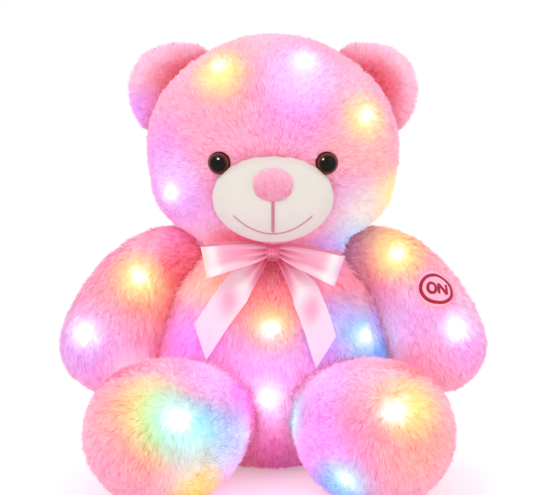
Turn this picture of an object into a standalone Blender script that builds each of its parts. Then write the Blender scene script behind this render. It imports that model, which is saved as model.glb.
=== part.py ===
"""Sitting plush bear night light: sewn covers over stuffing, lamp strings, a switch in one arm
and a battery box behind a zip in the back. Metres, +Z up. The bear faces -Y and left is -X.
The origin is the middle of the flat seat face under the body."""

import math

import bmesh
import bpy
from mathutils import Matrix, Vector
from mathutils.bvhtree import BVHTree

# Fits and sewing, shared by every sub-part
GAP = 0.0003
OVERRUN = 0.004
WELD_DISTANCE = 0.000003
COVER_THICKNESS = 0.005
STUFFING_CLEARANCE = 0.0005
SEAT_CLEARANCE = 0.0007
STUFFING_SEAT_ROOM = 0.003
FORM_LEVELS = 1
SHARP_ANGLE = math.radians(35)
# What one level of smoothing keeps of a point's own place, and how far it draws in a pole, for each side
KEPT_SHARE = 0.75
POLE_SHARE = 1.6667

# Body
BODY_WIDTH = 0.204
BODY_DEPTH = 0.170
BODY_HEIGHT = 0.206
BODY_SIDES = 12
# Shares of height, width and depth, from the seat up
BODY_SHARES = (
    (-0.003, 0.0, 0.0),
    (-0.013, 0.62, 0.62),
    (0.060, 0.83, 0.83),
    (0.220, 0.99, 0.99),
    (0.420, 1.02, 1.01),
    (0.600, 0.94, 0.97),
    (0.760, 0.78, 0.83),
    (0.880, 0.58, 0.66),
    (0.970, 0.32, 0.38),
    (1.000, 0.0, 0.0),
)

# Head
HEAD_WIDTH = 0.208
HEAD_DEPTH = 0.184
HEAD_HEIGHT = 0.184
HEAD_SINK = 0.041
HEAD_Y = -0.004
HEAD_SIDES = 12
HEAD_SHARES = (
    (-0.008, 0.0, 0.0),
    (0.030, 0.38, 0.38),
    (0.150, 0.75, 0.75),
    (0.330, 0.97, 0.97),
    (0.530, 1.03, 1.02),
    (0.730, 0.92, 0.93),
    (0.880, 0.67, 0.69),
    (0.975, 0.33, 0.34),
    (1.008, 0.0, 0.0),
)
HEAD_TURN_CLEARANCE = 0.0016
NECK_OPENING_RADIUS = 0.018

# Arms, from the shoulder over the elbow to the paw
SHOULDER_SHARES = (0.66667, 0.0, 0.81553)
ELBOW_REACH = Vector((0.040, -0.005, 0.010))
PAW_REACH = Vector((0.068, -0.022, -0.072))
PAW_RADIUS = 0.037
ARM_SIDES = 8
# Shares of the way to the paw, and of the paw's radius
ARM_SHARES = (
    (-0.24, 0.0),
    (-0.14, 0.49),
    (0.12, 0.62),
    (0.42, 0.78),
    (0.74, 0.95),
    (1.00, 1.05),
    (1.20, 0.84),
    (1.42, 0.0),
)
ARM_SWING = math.radians(15)
ARM_SWING_STEPS = 2
ARM_OPENING_RADIUS = 0.010

# Legs, from the hip to the sole
HIP_SHARES = (0.49020, -0.42353, 0.0)
HIP_HEIGHT = 0.044
KNEE_REACH = Vector((0.008, -0.059, 0.006))
FOOT_REACH = Vector((0.035, -0.106, 0.0125))
FOOT_SHIFT = 0.003
FOOT_HALF_WIDTH = 0.0588
FOOT_HALF_HEIGHT = 0.0565
LEG_SIDES = 10
# Shares of the way to the foot's middle, and of the foot's half width and height
LEG_SHARES = (
    (-0.32, 0.0, 0.0),
    (-0.20, 0.42, 0.42),
    (0.06, 0.58, 0.60),
    (0.40, 0.80, 0.86),
    (0.74, 1.01, 1.01),
    (1.04, 1.09, 1.06),
    (1.34, 0.80, 0.80),
    (1.52, 0.0, 0.0),
)
LEG_SPLAY = math.radians(8)
LEG_SPLAY_STEPS = 2
LEG_OPENING_RADIUS = 0.012
SOLE_SEAM_SHARE = 1.20

# Ears
EAR_RADIUS = 0.0362
EAR_THICKNESS = 0.024
EAR_SHARES = (0.78365, 0.13043, 0.75)
EAR_TURN = math.radians(12)
EAR_SIDES = 16
EAR_RINGS = 8
EAR_HOLLOW_RADIUS = 0.040
EAR_HOLLOW_DEPTH = 0.010

# Face
MUZZLE_WIDTH = 0.094
MUZZLE_HEIGHT = 0.0715
MUZZLE_DEPTH = 0.054
MUZZLE_SHARES = (0.0, -0.85870, 0.35326)
NOSE_WIDTH = 0.033
NOSE_HEIGHT = 0.0275
NOSE_DEPTH = 0.022
NOSE_REACH = Vector((0.0, -0.023, 0.0112))
PAD_SIDES = 20
PAD_RINGS = 10
NOSE_SIDES = 12
NOSE_RINGS = 8
THREAD_RADIUS = 0.0011
THREAD_LIFT = 0.00045
MOUTH_DROP = 0.0228
SMILE_WIDTH = 0.060
SMILE_RISE = 0.0135
SMILE_DROP = 0.0260
SMILE_POINTS = 13
MOUTH_POINTS = 7

# Safety eyes: dome, collar and ribbed stem in one, with a washer behind the cover
EYE_DIAMETER = 0.018
EYE_DOME = 0.0058
EYE_SEAT_DEPTH = 0.0018
EYE_STEM_DIAMETER = 0.0046
EYE_STEM_LENGTH = 0.014
EYE_SHARES = (0.40385, 0.0, 0.49457)
WASHER_DIAMETER = 0.016
WASHER_THICKNESS = 0.0016
EYE_STEPS = 16
DOME_POINTS = 4

# Satin bow
RIBBON_WIDTH = 0.025
RIBBON_THICKNESS = 0.0009
NECK_RIBBON_THICKNESS = 0.0014
NECK_RIBBON_RISE = 0.0085
NECK_RIBBON_WIDTH = 0.0085
NECK_RIBBON_BACK = 0.018
KNOT_WIDTH = 0.0165
KNOT_HEIGHT = 0.0145
KNOT_DEPTH = 0.011
KNOT_RISE = 0.0175
KNOT_EDGE = 0.0038
LOOP_LENGTH = 0.049
LOOP_BULGE = 0.0065
LOOP_PINCH_SHARE = 0.50
LOOP_ROOT = 0.0013
LOOP_STEPS = 18
RIBBON_CROSS_STEPS = 3
LOOP_TILTS = (math.radians(2), math.radians(14))
LOOP_DROP = 0.005
LOOP_FORWARD = 0.0024
PLEAT_DEPTH = 0.0022
TAIL_STEPS = 11
TAIL_LIFT = 0.0018
# Across and down from the knot
TAIL_ROUTES = (
    ((-0.0070, -0.0105), (-0.0240, -0.0275), (-0.0420, -0.0585), (-0.0460, -0.0815)),
    ((0.0085, -0.0105), (0.0230, -0.0355), (0.0370, -0.0665), (0.0400, -0.0815)),
)
TAIL_END_SLANT = 0.020
TAIL_SPREAD_SHARE = 0.45
TAIL_PLEAT_SHARE = 0.35
TAIL_ROOT_PLEAT_SHARE = 0.55
TAIL_PLEATS = 1.5

# Lamp strings
WIRE_RADIUS = 0.0009
LAMP_RADIUS = 0.0028
LAMP_SIDES = 6
LAMP_RINGS = 4
LAMP_DEPTH = 0.0060
STRING_CLEARANCE = 0.0004
# Places of the lamps, as seen from the front, across and up: shares of the head and the body
HEAD_LAMP_SHARES = (
    (-0.3846, 0.8315),
    (0.2212, 0.8533),
    (0.6538, 0.6413),
    (0.7885, 0.2989),
    (0.5000, 0.1467),
    (-0.7115, 0.3207),
    (-0.8462, 0.6087),
)
BODY_LAMP_SHARES = ((0.6667, 0.4757), (0.0, 0.5097), (-0.0392, 0.2670), (-0.5294, 0.6699))
# Outwards and up from the shoulder, and from the middle of the foot
ARM_LAMPS = {
    "left": ((0.037, -0.018), (0.078, -0.062)),
    "right": ((0.026, -0.003), (0.075, -0.064)),
}
ARM_WIRE_BEND_SHARE = 0.55
ARM_WIRE_BACK = 0.014
LEG_LAMPS = {
    "left": ((-0.012, 0.0235), (-0.027, -0.0285)),
    "right": ((-0.049, 0.0235), (0.003, 0.0295), (-0.032, -0.0185)),
}

# Back zip
ZIP_LENGTH = 0.080
ZIP_BOTTOM_SHARE = 0.20874
ZIP_PLANE_SHARE = 0.88471
TAPE_WIDTH = 0.013
TAPE_THICKNESS = 0.0008
CHAIN_WIDTH = 0.0042
CHAIN_THICKNESS = 0.0016
TAPE_END = 0.004
SLIT_WIDTH = 0.0106
SLIDER_WIDTH = 0.0090
SLIDER_LENGTH = 0.0100
SLIDER_WALL = 0.0012
SLIDER_EDGE = 0.0003
SLIDER_REST = 0.0020
BAIL_RADIUS = 0.0007
BAIL_RISE = 0.0022
PULL_WIDTH = 0.0056
PULL_LENGTH = 0.0150
PULL_THICKNESS = 0.0012
PULL_EYE_WIDTH = 0.0030
PULL_EYE_LENGTH = 0.0046
PULL_EDGE = 0.0003
BAIL_TOP_SHARE = 0.8
BAIL_PLACE_SHARE = 0.45
BAIL_REACH_SHARE = 0.30

# Battery box
CELL_DIAMETER = 0.0105
CELL_LENGTH = 0.0445
CELL_COUNT = 3
CELL_PITCH = 0.0112
CASE_WALL = 0.0016
CASE_RISE = 0.007
CONTACT_ROOM = 0.0040
CONTACT_THICKNESS = 0.0005
BOARD_ROOM = 0.014
BOARD_THICKNESS = 0.0014
LID_THICKNESS = 0.0018
SCREW_HEAD_DIAMETER = 0.0046
SCREW_DIAMETER = 0.0024
SCREW_LENGTH = 0.0075
SCREW_HEAD_HEIGHT = 0.0014
SCREW_CROWN_SHARE = 0.8
SCREW_SINK = 0.0007
BOSS_DIAMETER = 0.0062
CASE_SINK = 0.0040
LID_EDGE = 0.00045
BOSS_PLACE_SHARE = 0.5
CELL_CAP_DIAMETER = 0.0052
CELL_CAP_HEIGHT = 0.0010
COIL_WIRE_RADIUS = 0.00035
COIL_RADIUS = 0.0036
COIL_TOP_RADIUS = 0.0023
COIL_TURNS = 2
COIL_TURN_POINTS = 8
CHIP_SIZE = 0.0070
CHIP_THICKNESS = 0.0020

# Press switch under the mark on the right arm
SWITCH_REACH = Vector((0.0635, 0.0, -0.0200))
PATCH_RADIUS = 0.0165
PATCH_ROOM = 0.0155
PATCH_THICKNESS = 0.0022
PRESS_TRAVEL = 0.0015
BUTTON_RADIUS = 0.0050
BUTTON_LENGTH = 0.0080
HOUSING_RADIUS = 0.0085
HOUSING_FLANGE_RADIUS = 0.0115
HOUSING_FLANGE = 0.0014
HOUSING_TOP = 0.0072
HOUSING_DEPTH = 0.0128
BUTTON_DROP = 0.0031
HOUSING_FLOOR = 0.0016
SPRING_RADIUS = 0.0034
SPRING_WIRE_RADIUS = 0.00035
SPRING_TURNS = 4
SPRING_TURN_POINTS = 9
MARK_RING_WIDTH = 0.0275
MARK_RING_HEIGHT = 0.0245
MARK_THREAD_RADIUS = 0.0009
MARK_RING_POINTS = 22
LETTER_POINTS = 12
LETTER_HEIGHT = 0.0120
LETTER_WIDTH = 0.0082
LETTER_PITCH = 0.0106
LETTER_TURN = math.radians(12)
LETTER_STEPS = 3

FINE_SIDES = 20
ROUND_SIDES = 12

head_bottom = BODY_HEIGHT - HEAD_SINK


def on_body(shares):
    """A place given as shares of half the body's width and depth, and of its height."""
    across, back, up = shares
    return Vector((across * BODY_WIDTH / 2, back * BODY_DEPTH / 2, up * BODY_HEIGHT))


def on_head(shares):
    """A place given as shares of half the head's width and depth, and of its height."""
    across, back, up = shares
    y = HEAD_Y + back * HEAD_DEPTH / 2
    return Vector((across * HEAD_WIDTH / 2, y, head_bottom + up * HEAD_HEIGHT))


shoulder_point = on_body(SHOULDER_SHARES)
elbow_point = shoulder_point + ELBOW_REACH
paw_point = shoulder_point + PAW_REACH
hip_point = on_body(HIP_SHARES) + Vector((0.0, 0.0, HIP_HEIGHT))
knee_point = hip_point + KNEE_REACH
foot_point = hip_point + FOOT_REACH
ear_centre = on_head(EAR_SHARES)
muzzle_centre = on_head(MUZZLE_SHARES)
nose_centre = muzzle_centre + NOSE_REACH
eye_point = on_head(EYE_SHARES)
zip_bottom = ZIP_BOTTOM_SHARE * BODY_HEIGHT
zip_plane = ZIP_PLANE_SHARE * BODY_DEPTH / 2
case_bottom = zip_bottom + CASE_RISE
case_back = zip_plane - CASE_SINK

for old_object in list(bpy.data.objects):
    bpy.data.objects.remove(old_object, do_unlink=True)

parts = bpy.data.collections.new("plush_night_light")
cutters = bpy.data.collections.new("cutters")
bpy.context.scene.collection.children.link(parts)
bpy.context.scene.collection.children.link(cutters)
cutters.hide_render = True


def material(name, colour, roughness, metallic=0.0):
    """A Principled material with one colour."""
    made = bpy.data.materials.new(name)
    made.use_nodes = True
    shader = made.node_tree.nodes["Principled BSDF"]
    shader.inputs["Base Color"].default_value = (*colour, 1.0)
    shader.inputs["Roughness"].default_value = roughness
    shader.inputs["Metallic"].default_value = metallic
    return made


PINK_PLUSH = (1.0, 0.50, 0.66)
MUZZLE_PLUSH = (0.94, 0.90, 0.84)
NOSE_PLUSH = (0.90, 0.30, 0.46)
STUFFING_WHITE = (0.92, 0.92, 0.90)
SATIN_PINK = (0.93, 0.40, 0.60)
EYE_BROWN = (0.03, 0.008, 0.005)
LAMP_GLOW = (1.0, 0.92, 0.70)
CASE_WHITE = (0.88, 0.88, 0.86)
BOARD_GREEN = (0.05, 0.30, 0.12)
STEEL_GREY = (0.62, 0.62, 0.60)
CELL_BLUE = (0.10, 0.22, 0.45)
MARK_RED = (0.55, 0.02, 0.06)
TAPE_PINK = (0.90, 0.45, 0.58)
# Roughness of each finish
MATT = 0.9
SATIN_FINISH = 0.5
SHINY = 0.3
GLOSSY = 0.08


def add(mesh_or_curve, name, look, hidden=False):
    """An object in its collection: a part with its material, or a cutter that no render shows."""
    made = bpy.data.objects.new(name, mesh_or_curve)
    (cutters if hidden else parts).objects.link(made)
    if hidden:
        made.hide_render = True
        made.display_type = "WIRE"
    if look is not None:
        mesh_or_curve.materials.append(look)
    return made


def mesh_from(bm, name, smooth=True):
    """The bmesh as a mesh with its faces pointing out."""
    bmesh.ops.recalc_face_normals(bm, faces=bm.faces)
    if bm.calc_volume(signed=True) < 0.0:
        bmesh.ops.reverse_faces(bm, faces=bm.faces)
    mesh = bpy.data.meshes.new(name)
    bm.to_mesh(mesh)
    bm.free()
    if smooth:
        mesh.shade_smooth()
        mesh.set_sharp_from_angle(angle=SHARP_ANGLE)
    return mesh


def evaluated_copy(source, name, look=None, hidden=False):
    """A mesh object made from the source as its modifiers leave it."""
    bpy.context.view_layer.update()
    graph = bpy.context.evaluated_depsgraph_get()
    mesh = bpy.data.meshes.new_from_object(source.evaluated_get(graph))
    bm = bmesh.new()
    bm.from_mesh(mesh)
    bmesh.ops.remove_doubles(bm, verts=bm.verts, dist=WELD_DISTANCE)
    bmesh.ops.recalc_face_normals(bm, faces=bm.faces)
    bm.to_mesh(mesh)
    bm.free()
    mesh.materials.clear()
    made = add(mesh, name, look, hidden)
    made.matrix_world = source.matrix_world
    return made


def surface_tree(source):
    """A search tree over the evaluated surface of an object, in its own coordinates."""
    bpy.context.view_layer.update()
    return BVHTree.FromObject(source, bpy.context.evaluated_depsgraph_get())


def cut(target, tool, operation="DIFFERENCE"):
    """A Boolean that stays on the target."""
    step = target.modifiers.new(f"{operation.lower()}_{tool.name}", "BOOLEAN")
    step.operation = operation
    step.object = tool
    step.solver = "EXACT"
    return step


def subdivide(target):
    step = target.modifiers.new("round", "SUBSURF")
    step.levels = FORM_LEVELS
    step.render_levels = FORM_LEVELS


def swell(target, distance):
    """Moves the surface out by a distance, or in by a negative one."""
    step = target.modifiers.new("swell", "DISPLACE")
    step.strength = distance
    step.mid_level = 0.0


def make_shell(target, thickness):
    step = target.modifiers.new("wall", "SOLIDIFY")
    step.thickness = thickness
    step.offset = -1.0


def box(name, low, high, look=None, hidden=True, bevel=0.0):
    """A box between two corners, with rounded edges where asked."""
    low, high = Vector(low), Vector(high)
    bm = bmesh.new()
    bmesh.ops.create_cube(bm, size=1.0)
    for vert in bm.verts:
        vert.co = Vector(v * (h - l) for v, l, h in zip(vert.co, low, high))
    made = add(mesh_from(bm, name, smooth=False), name, look, hidden)
    made.location = (low + high) / 2
    if bevel:
        step = made.modifiers.new("edges", "BEVEL")
        step.width = bevel
        step.segments = 2
    return made


def rod(name, start, end, radius, look=None, hidden=True, sides=FINE_SIDES):
    """A cylinder between two points."""
    start, end = Vector(start), Vector(end)
    along = end - start
    bm = bmesh.new()
    bmesh.ops.create_cone(
        bm, cap_ends=True, segments=sides, radius1=radius, radius2=radius, depth=along.length
    )
    made = add(mesh_from(bm, name), name, look, hidden)
    made.rotation_euler = along.to_track_quat("Z", "Y").to_euler()
    made.location = (start + end) / 2
    return made


def ball(name, centre, radius, look=None, hidden=True, sides=FINE_SIDES):
    bm = bmesh.new()
    bmesh.ops.create_uvsphere(bm, u_segments=sides, v_segments=sides // 2, radius=radius)
    made = add(mesh_from(bm, name), name, look, hidden)
    made.location = centre
    return made


def turned(name, profile, look=None, hidden=False, steps=ROUND_SIDES):
    """A profile of (radius, height) points, top to bottom, turned round Z by a Screw."""
    mesh = bpy.data.meshes.new(name)
    points = [(radius, 0.0, height) for radius, height in profile]
    mesh.from_pydata(points, [(i, i + 1) for i in range(len(points) - 1)], [])
    made = add(mesh, name, look, hidden)
    step = made.modifiers.new("turn", "SCREW")
    step.steps = steps
    step.render_steps = steps
    step.use_merge_vertices = True
    step.merge_threshold = WELD_DISTANCE
    step.use_smooth_shade = False
    return made


def tube(name, points, radius, look=None, hidden=False, closed=False, resolution=1):
    """A round thread or wire through the points, as a closed mesh."""
    curve = bpy.data.curves.new(name, "CURVE")
    curve.dimensions = "3D"
    curve.bevel_depth = radius
    curve.bevel_resolution = resolution
    curve.use_fill_caps = True
    spline = curve.splines.new("POLY")
    spline.points.add(len(points) - 1)
    for place, point in zip(spline.points, points):
        place.co = (*point, 1.0)
    spline.use_cyclic_u = closed
    guide = add(curve, name + "_guide", None, hidden=True)
    made = evaluated_copy(guide, name, look, hidden)
    bpy.data.objects.remove(guide, do_unlink=True)
    return made


def round_gain(sides):
    """What a ring of the cage is enlarged by, so that its smoothed surface has the stated radius."""
    return 1.0 / (KEPT_SHARE + (1.0 - KEPT_SHARE) * math.cos(2.0 * math.pi / sides))


def cage(name, stations, sides, pivot, look=None, hidden=False, gain=None):
    """A soft form's cage: a sphere whose rings are moved to the stations.

    A station is its centre, half width, half height, and the directions of these two."""
    bm = bmesh.new()
    bands = len(stations) - 1
    bmesh.ops.create_uvsphere(bm, u_segments=sides, v_segments=bands, radius=1.0)
    gain = round_gain(sides) if gain is None else gain
    for vert in bm.verts:
        ring = round(math.acos(max(-1.0, min(1.0, vert.co.z))) / math.pi * bands)
        angle = math.atan2(vert.co.y, vert.co.x)
        centre, half_width, half_height, across, up = stations[ring]
        vert.co = (
            centre
            + across * (math.cos(angle) * half_width * gain)
            + up * (math.sin(angle) * half_height * gain)
            - pivot
        )
    made = add(mesh_from(bm, name), name, look, hidden)
    made.location = pivot
    return made


def upright_stations(shares, bottom, height, width, depth, y):
    """Level rings up a body or head."""
    across, back = Vector((1.0, 0.0, 0.0)), Vector((0.0, 1.0, 0.0))
    return [
        (Vector((0.0, y, bottom + height * h)), width / 2 * w, depth / 2 * d, across, back)
        for h, w, d in shares
    ]


def limb_point(root, bend, tip, share):
    """A point on the limb's centre line, which runs straight past its ends."""
    held = max(0.0, min(1.0, share))
    point = (
        root * (1.0 - held) ** 2 + bend * (2.0 * held * (1.0 - held)) + tip * held**2
    )
    return point + limb_direction(root, bend, tip, share) * ((share - held) * (tip - root).length)


def limb_direction(root, bend, tip, share):
    held = max(0.0, min(1.0, share))
    return ((bend - root) * (1.0 - held) + (tip - bend) * held).normalized()


def limb_stations(root, bend, tip, rows):
    """Rings square to a limb's centre line. A row is share, half width and half height."""
    stations = []
    for share, half_width, half_height in rows:
        along = limb_direction(root, bend, tip, share)
        across = Vector((0.0, 0.0, 1.0)).cross(along).normalized()
        up = along.cross(across)
        stations.append(
            (limb_point(root, bend, tip, share), half_width, half_height, across, up)
        )
    return stations


def mirrored(point, side):
    return Vector((point[0] * side, point[1], point[2]))


def settled(before, value, after):
    """A ring's value after one level of smoothing, which keeps a share of it and takes in its neighbours."""
    return value * KEPT_SHARE + (before + after) * (1.0 - KEPT_SHARE) / 2.0


def inner_stations(stations, sides, inset):
    """Stations of the surface inside the smoothed one, moved in square to it by the inset."""
    last = len(stations) - 1
    rounded = [stations[0][:3]]
    for index in range(1, last):
        near = stations[index - 1 : index + 2]
        rounded.append(tuple(settled(*(row[k] for row in near)) for k in range(3)))
    rounded.append(stations[last][:3])
    found = []
    for index, (centre, half_width, half_height) in enumerate(rounded):
        across, up = stations[index][3:]
        if index in (0, last):
            inward = rounded[1 if index == 0 else last - 1][0] - centre
            settle = inward.length * POLE_SHARE / sides
            found.append((centre + inward.normalized() * (inset + max(settle, 0.0)), 0.0, 0.0, across, up))
            continue
        before, after = rounded[index - 1], rounded[index + 1]
        step = after[0] - before[0]
        growth = (after[1] + after[2] - before[1] - before[2]) / 2.0
        slope = math.hypot(step.length, growth)
        inward = inset * step.length / slope
        centre = centre + step.normalized() * (inset * growth / slope)
        found.append((centre, half_width - inward, half_height - inward, across, up))
    return found


def inner_form(name, stations, sides, pivot, inset, look=None, hidden=False):
    """A form's coarse inside, a stated depth under its smoothed surface.

    Its faces are split alike at each depth, so that two of them stay clear of each other."""
    made = cage(name, inner_stations(stations, sides, inset), sides, pivot, look, hidden, gain=1.0)
    bm = bmesh.new()
    bm.from_mesh(made.data)
    bmesh.ops.triangulate(bm, faces=bm.faces, quad_method="FIXED")
    bm.to_mesh(made.data)
    bm.free()
    return made


def sewn_cover(name, stations, sides, pivot, look):
    """A smoothed form with the room for its stuffing taken out."""
    cover = cage(name, stations, sides, pivot, look)
    subdivide(cover)
    cut(cover, inner_form(name + "_room", stations, sides, pivot, COVER_THICKNESS, hidden=True))
    return cover


def stuffed(name, stations, sides, pivot):
    """The stuffing that fills a cover."""
    return inner_form(name, stations, sides, pivot, COVER_THICKNESS + STUFFING_CLEARANCE, filling)


plush = material("pink_plush", PINK_PLUSH, MATT)
cream_plush = material("muzzle_plush", MUZZLE_PLUSH, MATT)
nose_plush = material("nose_plush", NOSE_PLUSH, MATT)
filling = material("stuffing", STUFFING_WHITE, MATT)
satin = material("satin", SATIN_PINK, SHINY)
eye_plastic = material("eye_plastic", EYE_BROWN, GLOSSY)
lamp_plastic = material("lamp_plastic", LAMP_GLOW, SHINY)
case_plastic = material("case_plastic", CASE_WHITE, SATIN_FINISH)
board_laminate = material("board_laminate", BOARD_GREEN, SATIN_FINISH)
steel = material("steel", STEEL_GREY, SHINY, metallic=1.0)
cell_wrap = material("cell_wrap", CELL_BLUE, SHINY)
thread = material("thread", MARK_RED, SATIN_FINISH)
mouth_thread = material("mouth_thread", NOSE_PLUSH, SATIN_FINISH)
tape_cloth = material("zip_tape", TAPE_PINK, MATT)

body_stations = upright_stations(BODY_SHARES, 0.0, BODY_HEIGHT, BODY_WIDTH, BODY_DEPTH, 0.0)
head_stations = upright_stations(
    HEAD_SHARES, head_bottom, HEAD_HEIGHT, HEAD_WIDTH, HEAD_DEPTH, HEAD_Y
)
head_axis = Vector((0.0, HEAD_Y, head_bottom))
origin = Vector((0.0, 0.0, 0.0))
EVERYWHERE = head_bottom + HEAD_HEIGHT
floor_cutter = box("floor_cutter", -Vector((EVERYWHERE,) * 3), (EVERYWHERE, EVERYWHERE, 0.0))


def keepout_form(name, stations, sides, pivot, distance):
    """A form's smoothed surface moved out by a clearance, as a cutter."""
    made = cage(name, stations, sides, pivot, hidden=True)
    subdivide(made)
    swell(made, distance)
    return made


body_keepout = keepout_form("body_keepout", body_stations, BODY_SIDES, origin, GAP)
head_keepout = keepout_form("head_keepout", head_stations, HEAD_SIDES, head_axis, GAP)


def head_sweep_cutter(name):
    """The round space that the head turns in."""
    wide = []
    for centre, half_width, half_depth, across, back in head_stations:
        reach = max(half_width, half_depth)
        reach = reach + HEAD_TURN_CLEARANCE if reach else reach
        wide.append((centre, reach, reach, across, back))
    made = cage(name, wide, HEAD_SIDES, head_axis, hidden=True)
    subdivide(made)
    swell(made, GAP)
    return made


head_sweep = head_sweep_cutter("head_sweep")
sides_of = {"left": -1.0, "right": 1.0}


def swung_keepouts(name, stations, sides, pivot, axis, swing, steps, smooth, clearance):
    """The space that a limb swings through, as cutters for what it is seated in."""
    made = []
    for i in range(steps):
        cutter = cage(f"{name}_{i}", stations, sides, pivot, hidden=True)
        if smooth:
            subdivide(cutter)
        swell(cutter, clearance)
        turn = Matrix.Rotation(swing * i / (steps - 1), 4, axis)
        cutter.matrix_world = Matrix.Translation(pivot) @ turn
        made.append(cutter)
    return made


def limb(kind, side_name, stations, sides, pivot, opening_radius):
    """A limb's sewn cover, open at the root, and its stuffing."""
    name = f"{kind}_{side_name}"
    cover = sewn_cover(name + "_cover", stations, sides, pivot, plush)
    filled = stuffed(name + "_stuffing", stations, sides, pivot)
    root, inside = stations[0][0], stations[2][0]
    outward = (root - inside).normalized()
    opening = rod(
        name + "_opening",
        root + outward * opening_radius,
        root - outward * (COVER_THICKNESS + opening_radius),
        opening_radius,
        sides=ROUND_SIDES,
    )
    cut(cover, opening)
    cut(cover, floor_cutter)
    return cover, filled


def make_body():
    cover = sewn_cover("body_cover", body_stations, BODY_SIDES, origin, plush)
    filled = stuffed("body_stuffing", body_stations, BODY_SIDES, origin)
    for piece in (cover, filled):
        cut(piece, head_sweep)
    cut(cover, floor_cutter)
    return cover, filled


def make_head():
    cover = sewn_cover("head_cover", head_stations, HEAD_SIDES, head_axis, plush)
    filled = stuffed("head_stuffing", head_stations, HEAD_SIDES, head_axis)
    opening = rod(
        "neck_opening",
        head_axis - Vector((0.0, 0.0, OVERRUN)),
        head_axis + Vector((0.0, 0.0, COVER_THICKNESS + OVERRUN)),
        NECK_OPENING_RADIUS,
    )
    cut(cover, opening)
    return cover, filled


body_cover, body_stuffing = make_body()
head_cover, head_stuffing = make_head()


def make_limbs(kind, side_name, root, bend, tip, rows, sides, axis, swing, steps, opening_radius):
    """A limb, and the seat for it and its swing in the body."""
    stations = limb_stations(root, bend, tip, rows)
    name = f"{kind}_{side_name}_keepout"
    for seat in swung_keepouts(name, stations, sides, root, axis, swing, steps, True, SEAT_CLEARANCE):
        cut(body_cover, seat)
    sweep = (root, axis, swing, steps)
    room = swung_keepouts(name + "_room", stations, sides, *sweep, False, STUFFING_SEAT_ROOM)
    for seat in room:
        cut(body_stuffing, seat)
    cover, filled = limb(kind, side_name, stations, sides, root, opening_radius)
    return cover, filled, stations


arms, legs = {}, {}


def shave_under_head(side_name):
    """Takes from a shoulder what the turning head would press on, at rest and swung up."""
    pivot = mirrored(shoulder_point, sides_of[side_name])
    axis = Vector((0.0, -sides_of[side_name], 0.0))
    for i in range(2):
        tool = head_sweep_cutter(f"arm_{side_name}_head_{i}")
        turn = Matrix.Rotation(-ARM_SWING * i, 4, axis)
        tool.matrix_world = Matrix.Translation(pivot) @ turn @ Matrix.Translation(head_axis - pivot)
        for piece in arms[side_name][:2]:
            cut(piece, tool)


arm_rows = [(share, PAW_RADIUS * r, PAW_RADIUS * r) for share, r in ARM_SHARES]
leg_rows = [(share, FOOT_HALF_WIDTH * w, FOOT_HALF_HEIGHT * h) for share, w, h in LEG_SHARES]
for side_name, side in sides_of.items():
    legs[side_name] = make_limbs(
        "leg",
        side_name,
        mirrored(hip_point, side),
        mirrored(knee_point, side),
        mirrored(foot_point, side) - Vector((FOOT_SHIFT, 0.0, 0.0)),
        leg_rows,
        LEG_SIDES,
        Vector((0.0, 0.0, side)),
        LEG_SPLAY,
        LEG_SPLAY_STEPS,
        LEG_OPENING_RADIUS,
    )
for side_name, side in sides_of.items():
    arms[side_name] = make_limbs(
        "arm",
        side_name,
        mirrored(shoulder_point, side),
        mirrored(elbow_point, side),
        mirrored(paw_point, side),
        arm_rows,
        ARM_SIDES,
        Vector((0.0, -side, 0.0)),
        ARM_SWING,
        ARM_SWING_STEPS,
        ARM_OPENING_RADIUS,
    )
    shave_under_head(side_name)


def pad(name, centre, size, look=None, hidden=False, sides=PAD_SIDES, rings=PAD_RINGS):
    """A stuffed oval pad of a width, depth and height."""
    bm = bmesh.new()
    bmesh.ops.create_uvsphere(bm, u_segments=sides, v_segments=rings, radius=0.5)
    bmesh.ops.scale(bm, vec=size, verts=bm.verts)
    made = add(mesh_from(bm, name), name, look, hidden)
    made.location = centre
    return made


def half_space(name, point, direction):
    """A cutter that fills everything ahead of a plane."""
    size = EVERYWHERE
    made = box(name, (-size, -size, 0.0), (size, size, size))
    turn = direction.to_track_quat("Z", "Y")
    made.rotation_euler = turn.to_euler()
    made.location = point + turn @ Vector((0.0, 0.0, size / 2))
    return made


def make_sole(side_name):
    """The oval panel sewn into the end of a leg's cover, along a seam square to the foot."""
    side = sides_of[side_name]
    cover, _, rows = legs[side_name]
    hip, knee = mirrored(hip_point, side), mirrored(knee_point, side)
    foot = mirrored(foot_point, side) - Vector((FOOT_SHIFT, 0.0, 0.0))
    seam = limb_point(hip, knee, foot, SOLE_SEAM_SHARE)
    ahead = limb_direction(hip, knee, foot, SOLE_SEAM_SHARE)
    cut(cover, half_space(f"sole_cut_{side_name}", seam, ahead))
    sole = sewn_cover(f"foot_sole_{side_name}", rows, LEG_SIDES, hip, plush)
    cut(sole, half_space(f"sole_keep_{side_name}", seam + ahead * GAP, ahead), "INTERSECT")
    cut(sole, floor_cutter)


def make_ear(side_name):
    side = sides_of[side_name]
    centre = mirrored(ear_centre, side)
    size = (EAR_RADIUS * 2, EAR_THICKNESS, EAR_RADIUS * 2)
    ear = pad(f"ear_{side_name}", centre, size, plush, sides=EAR_SIDES, rings=EAR_RINGS)
    ear.rotation_euler = (0.0, 0.0, side * EAR_TURN)
    ahead = Vector((side * math.sin(EAR_TURN), -math.cos(EAR_TURN), 0.0))
    hollow_centre = centre + ahead * (EAR_THICKNESS / 2 + EAR_HOLLOW_RADIUS - EAR_HOLLOW_DEPTH)
    cut(ear, ball(f"ear_hollow_{side_name}", hollow_centre, EAR_HOLLOW_RADIUS))
    cut(ear, head_keepout)


for side_name in sides_of:
    make_sole(side_name)
    make_ear(side_name)

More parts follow.
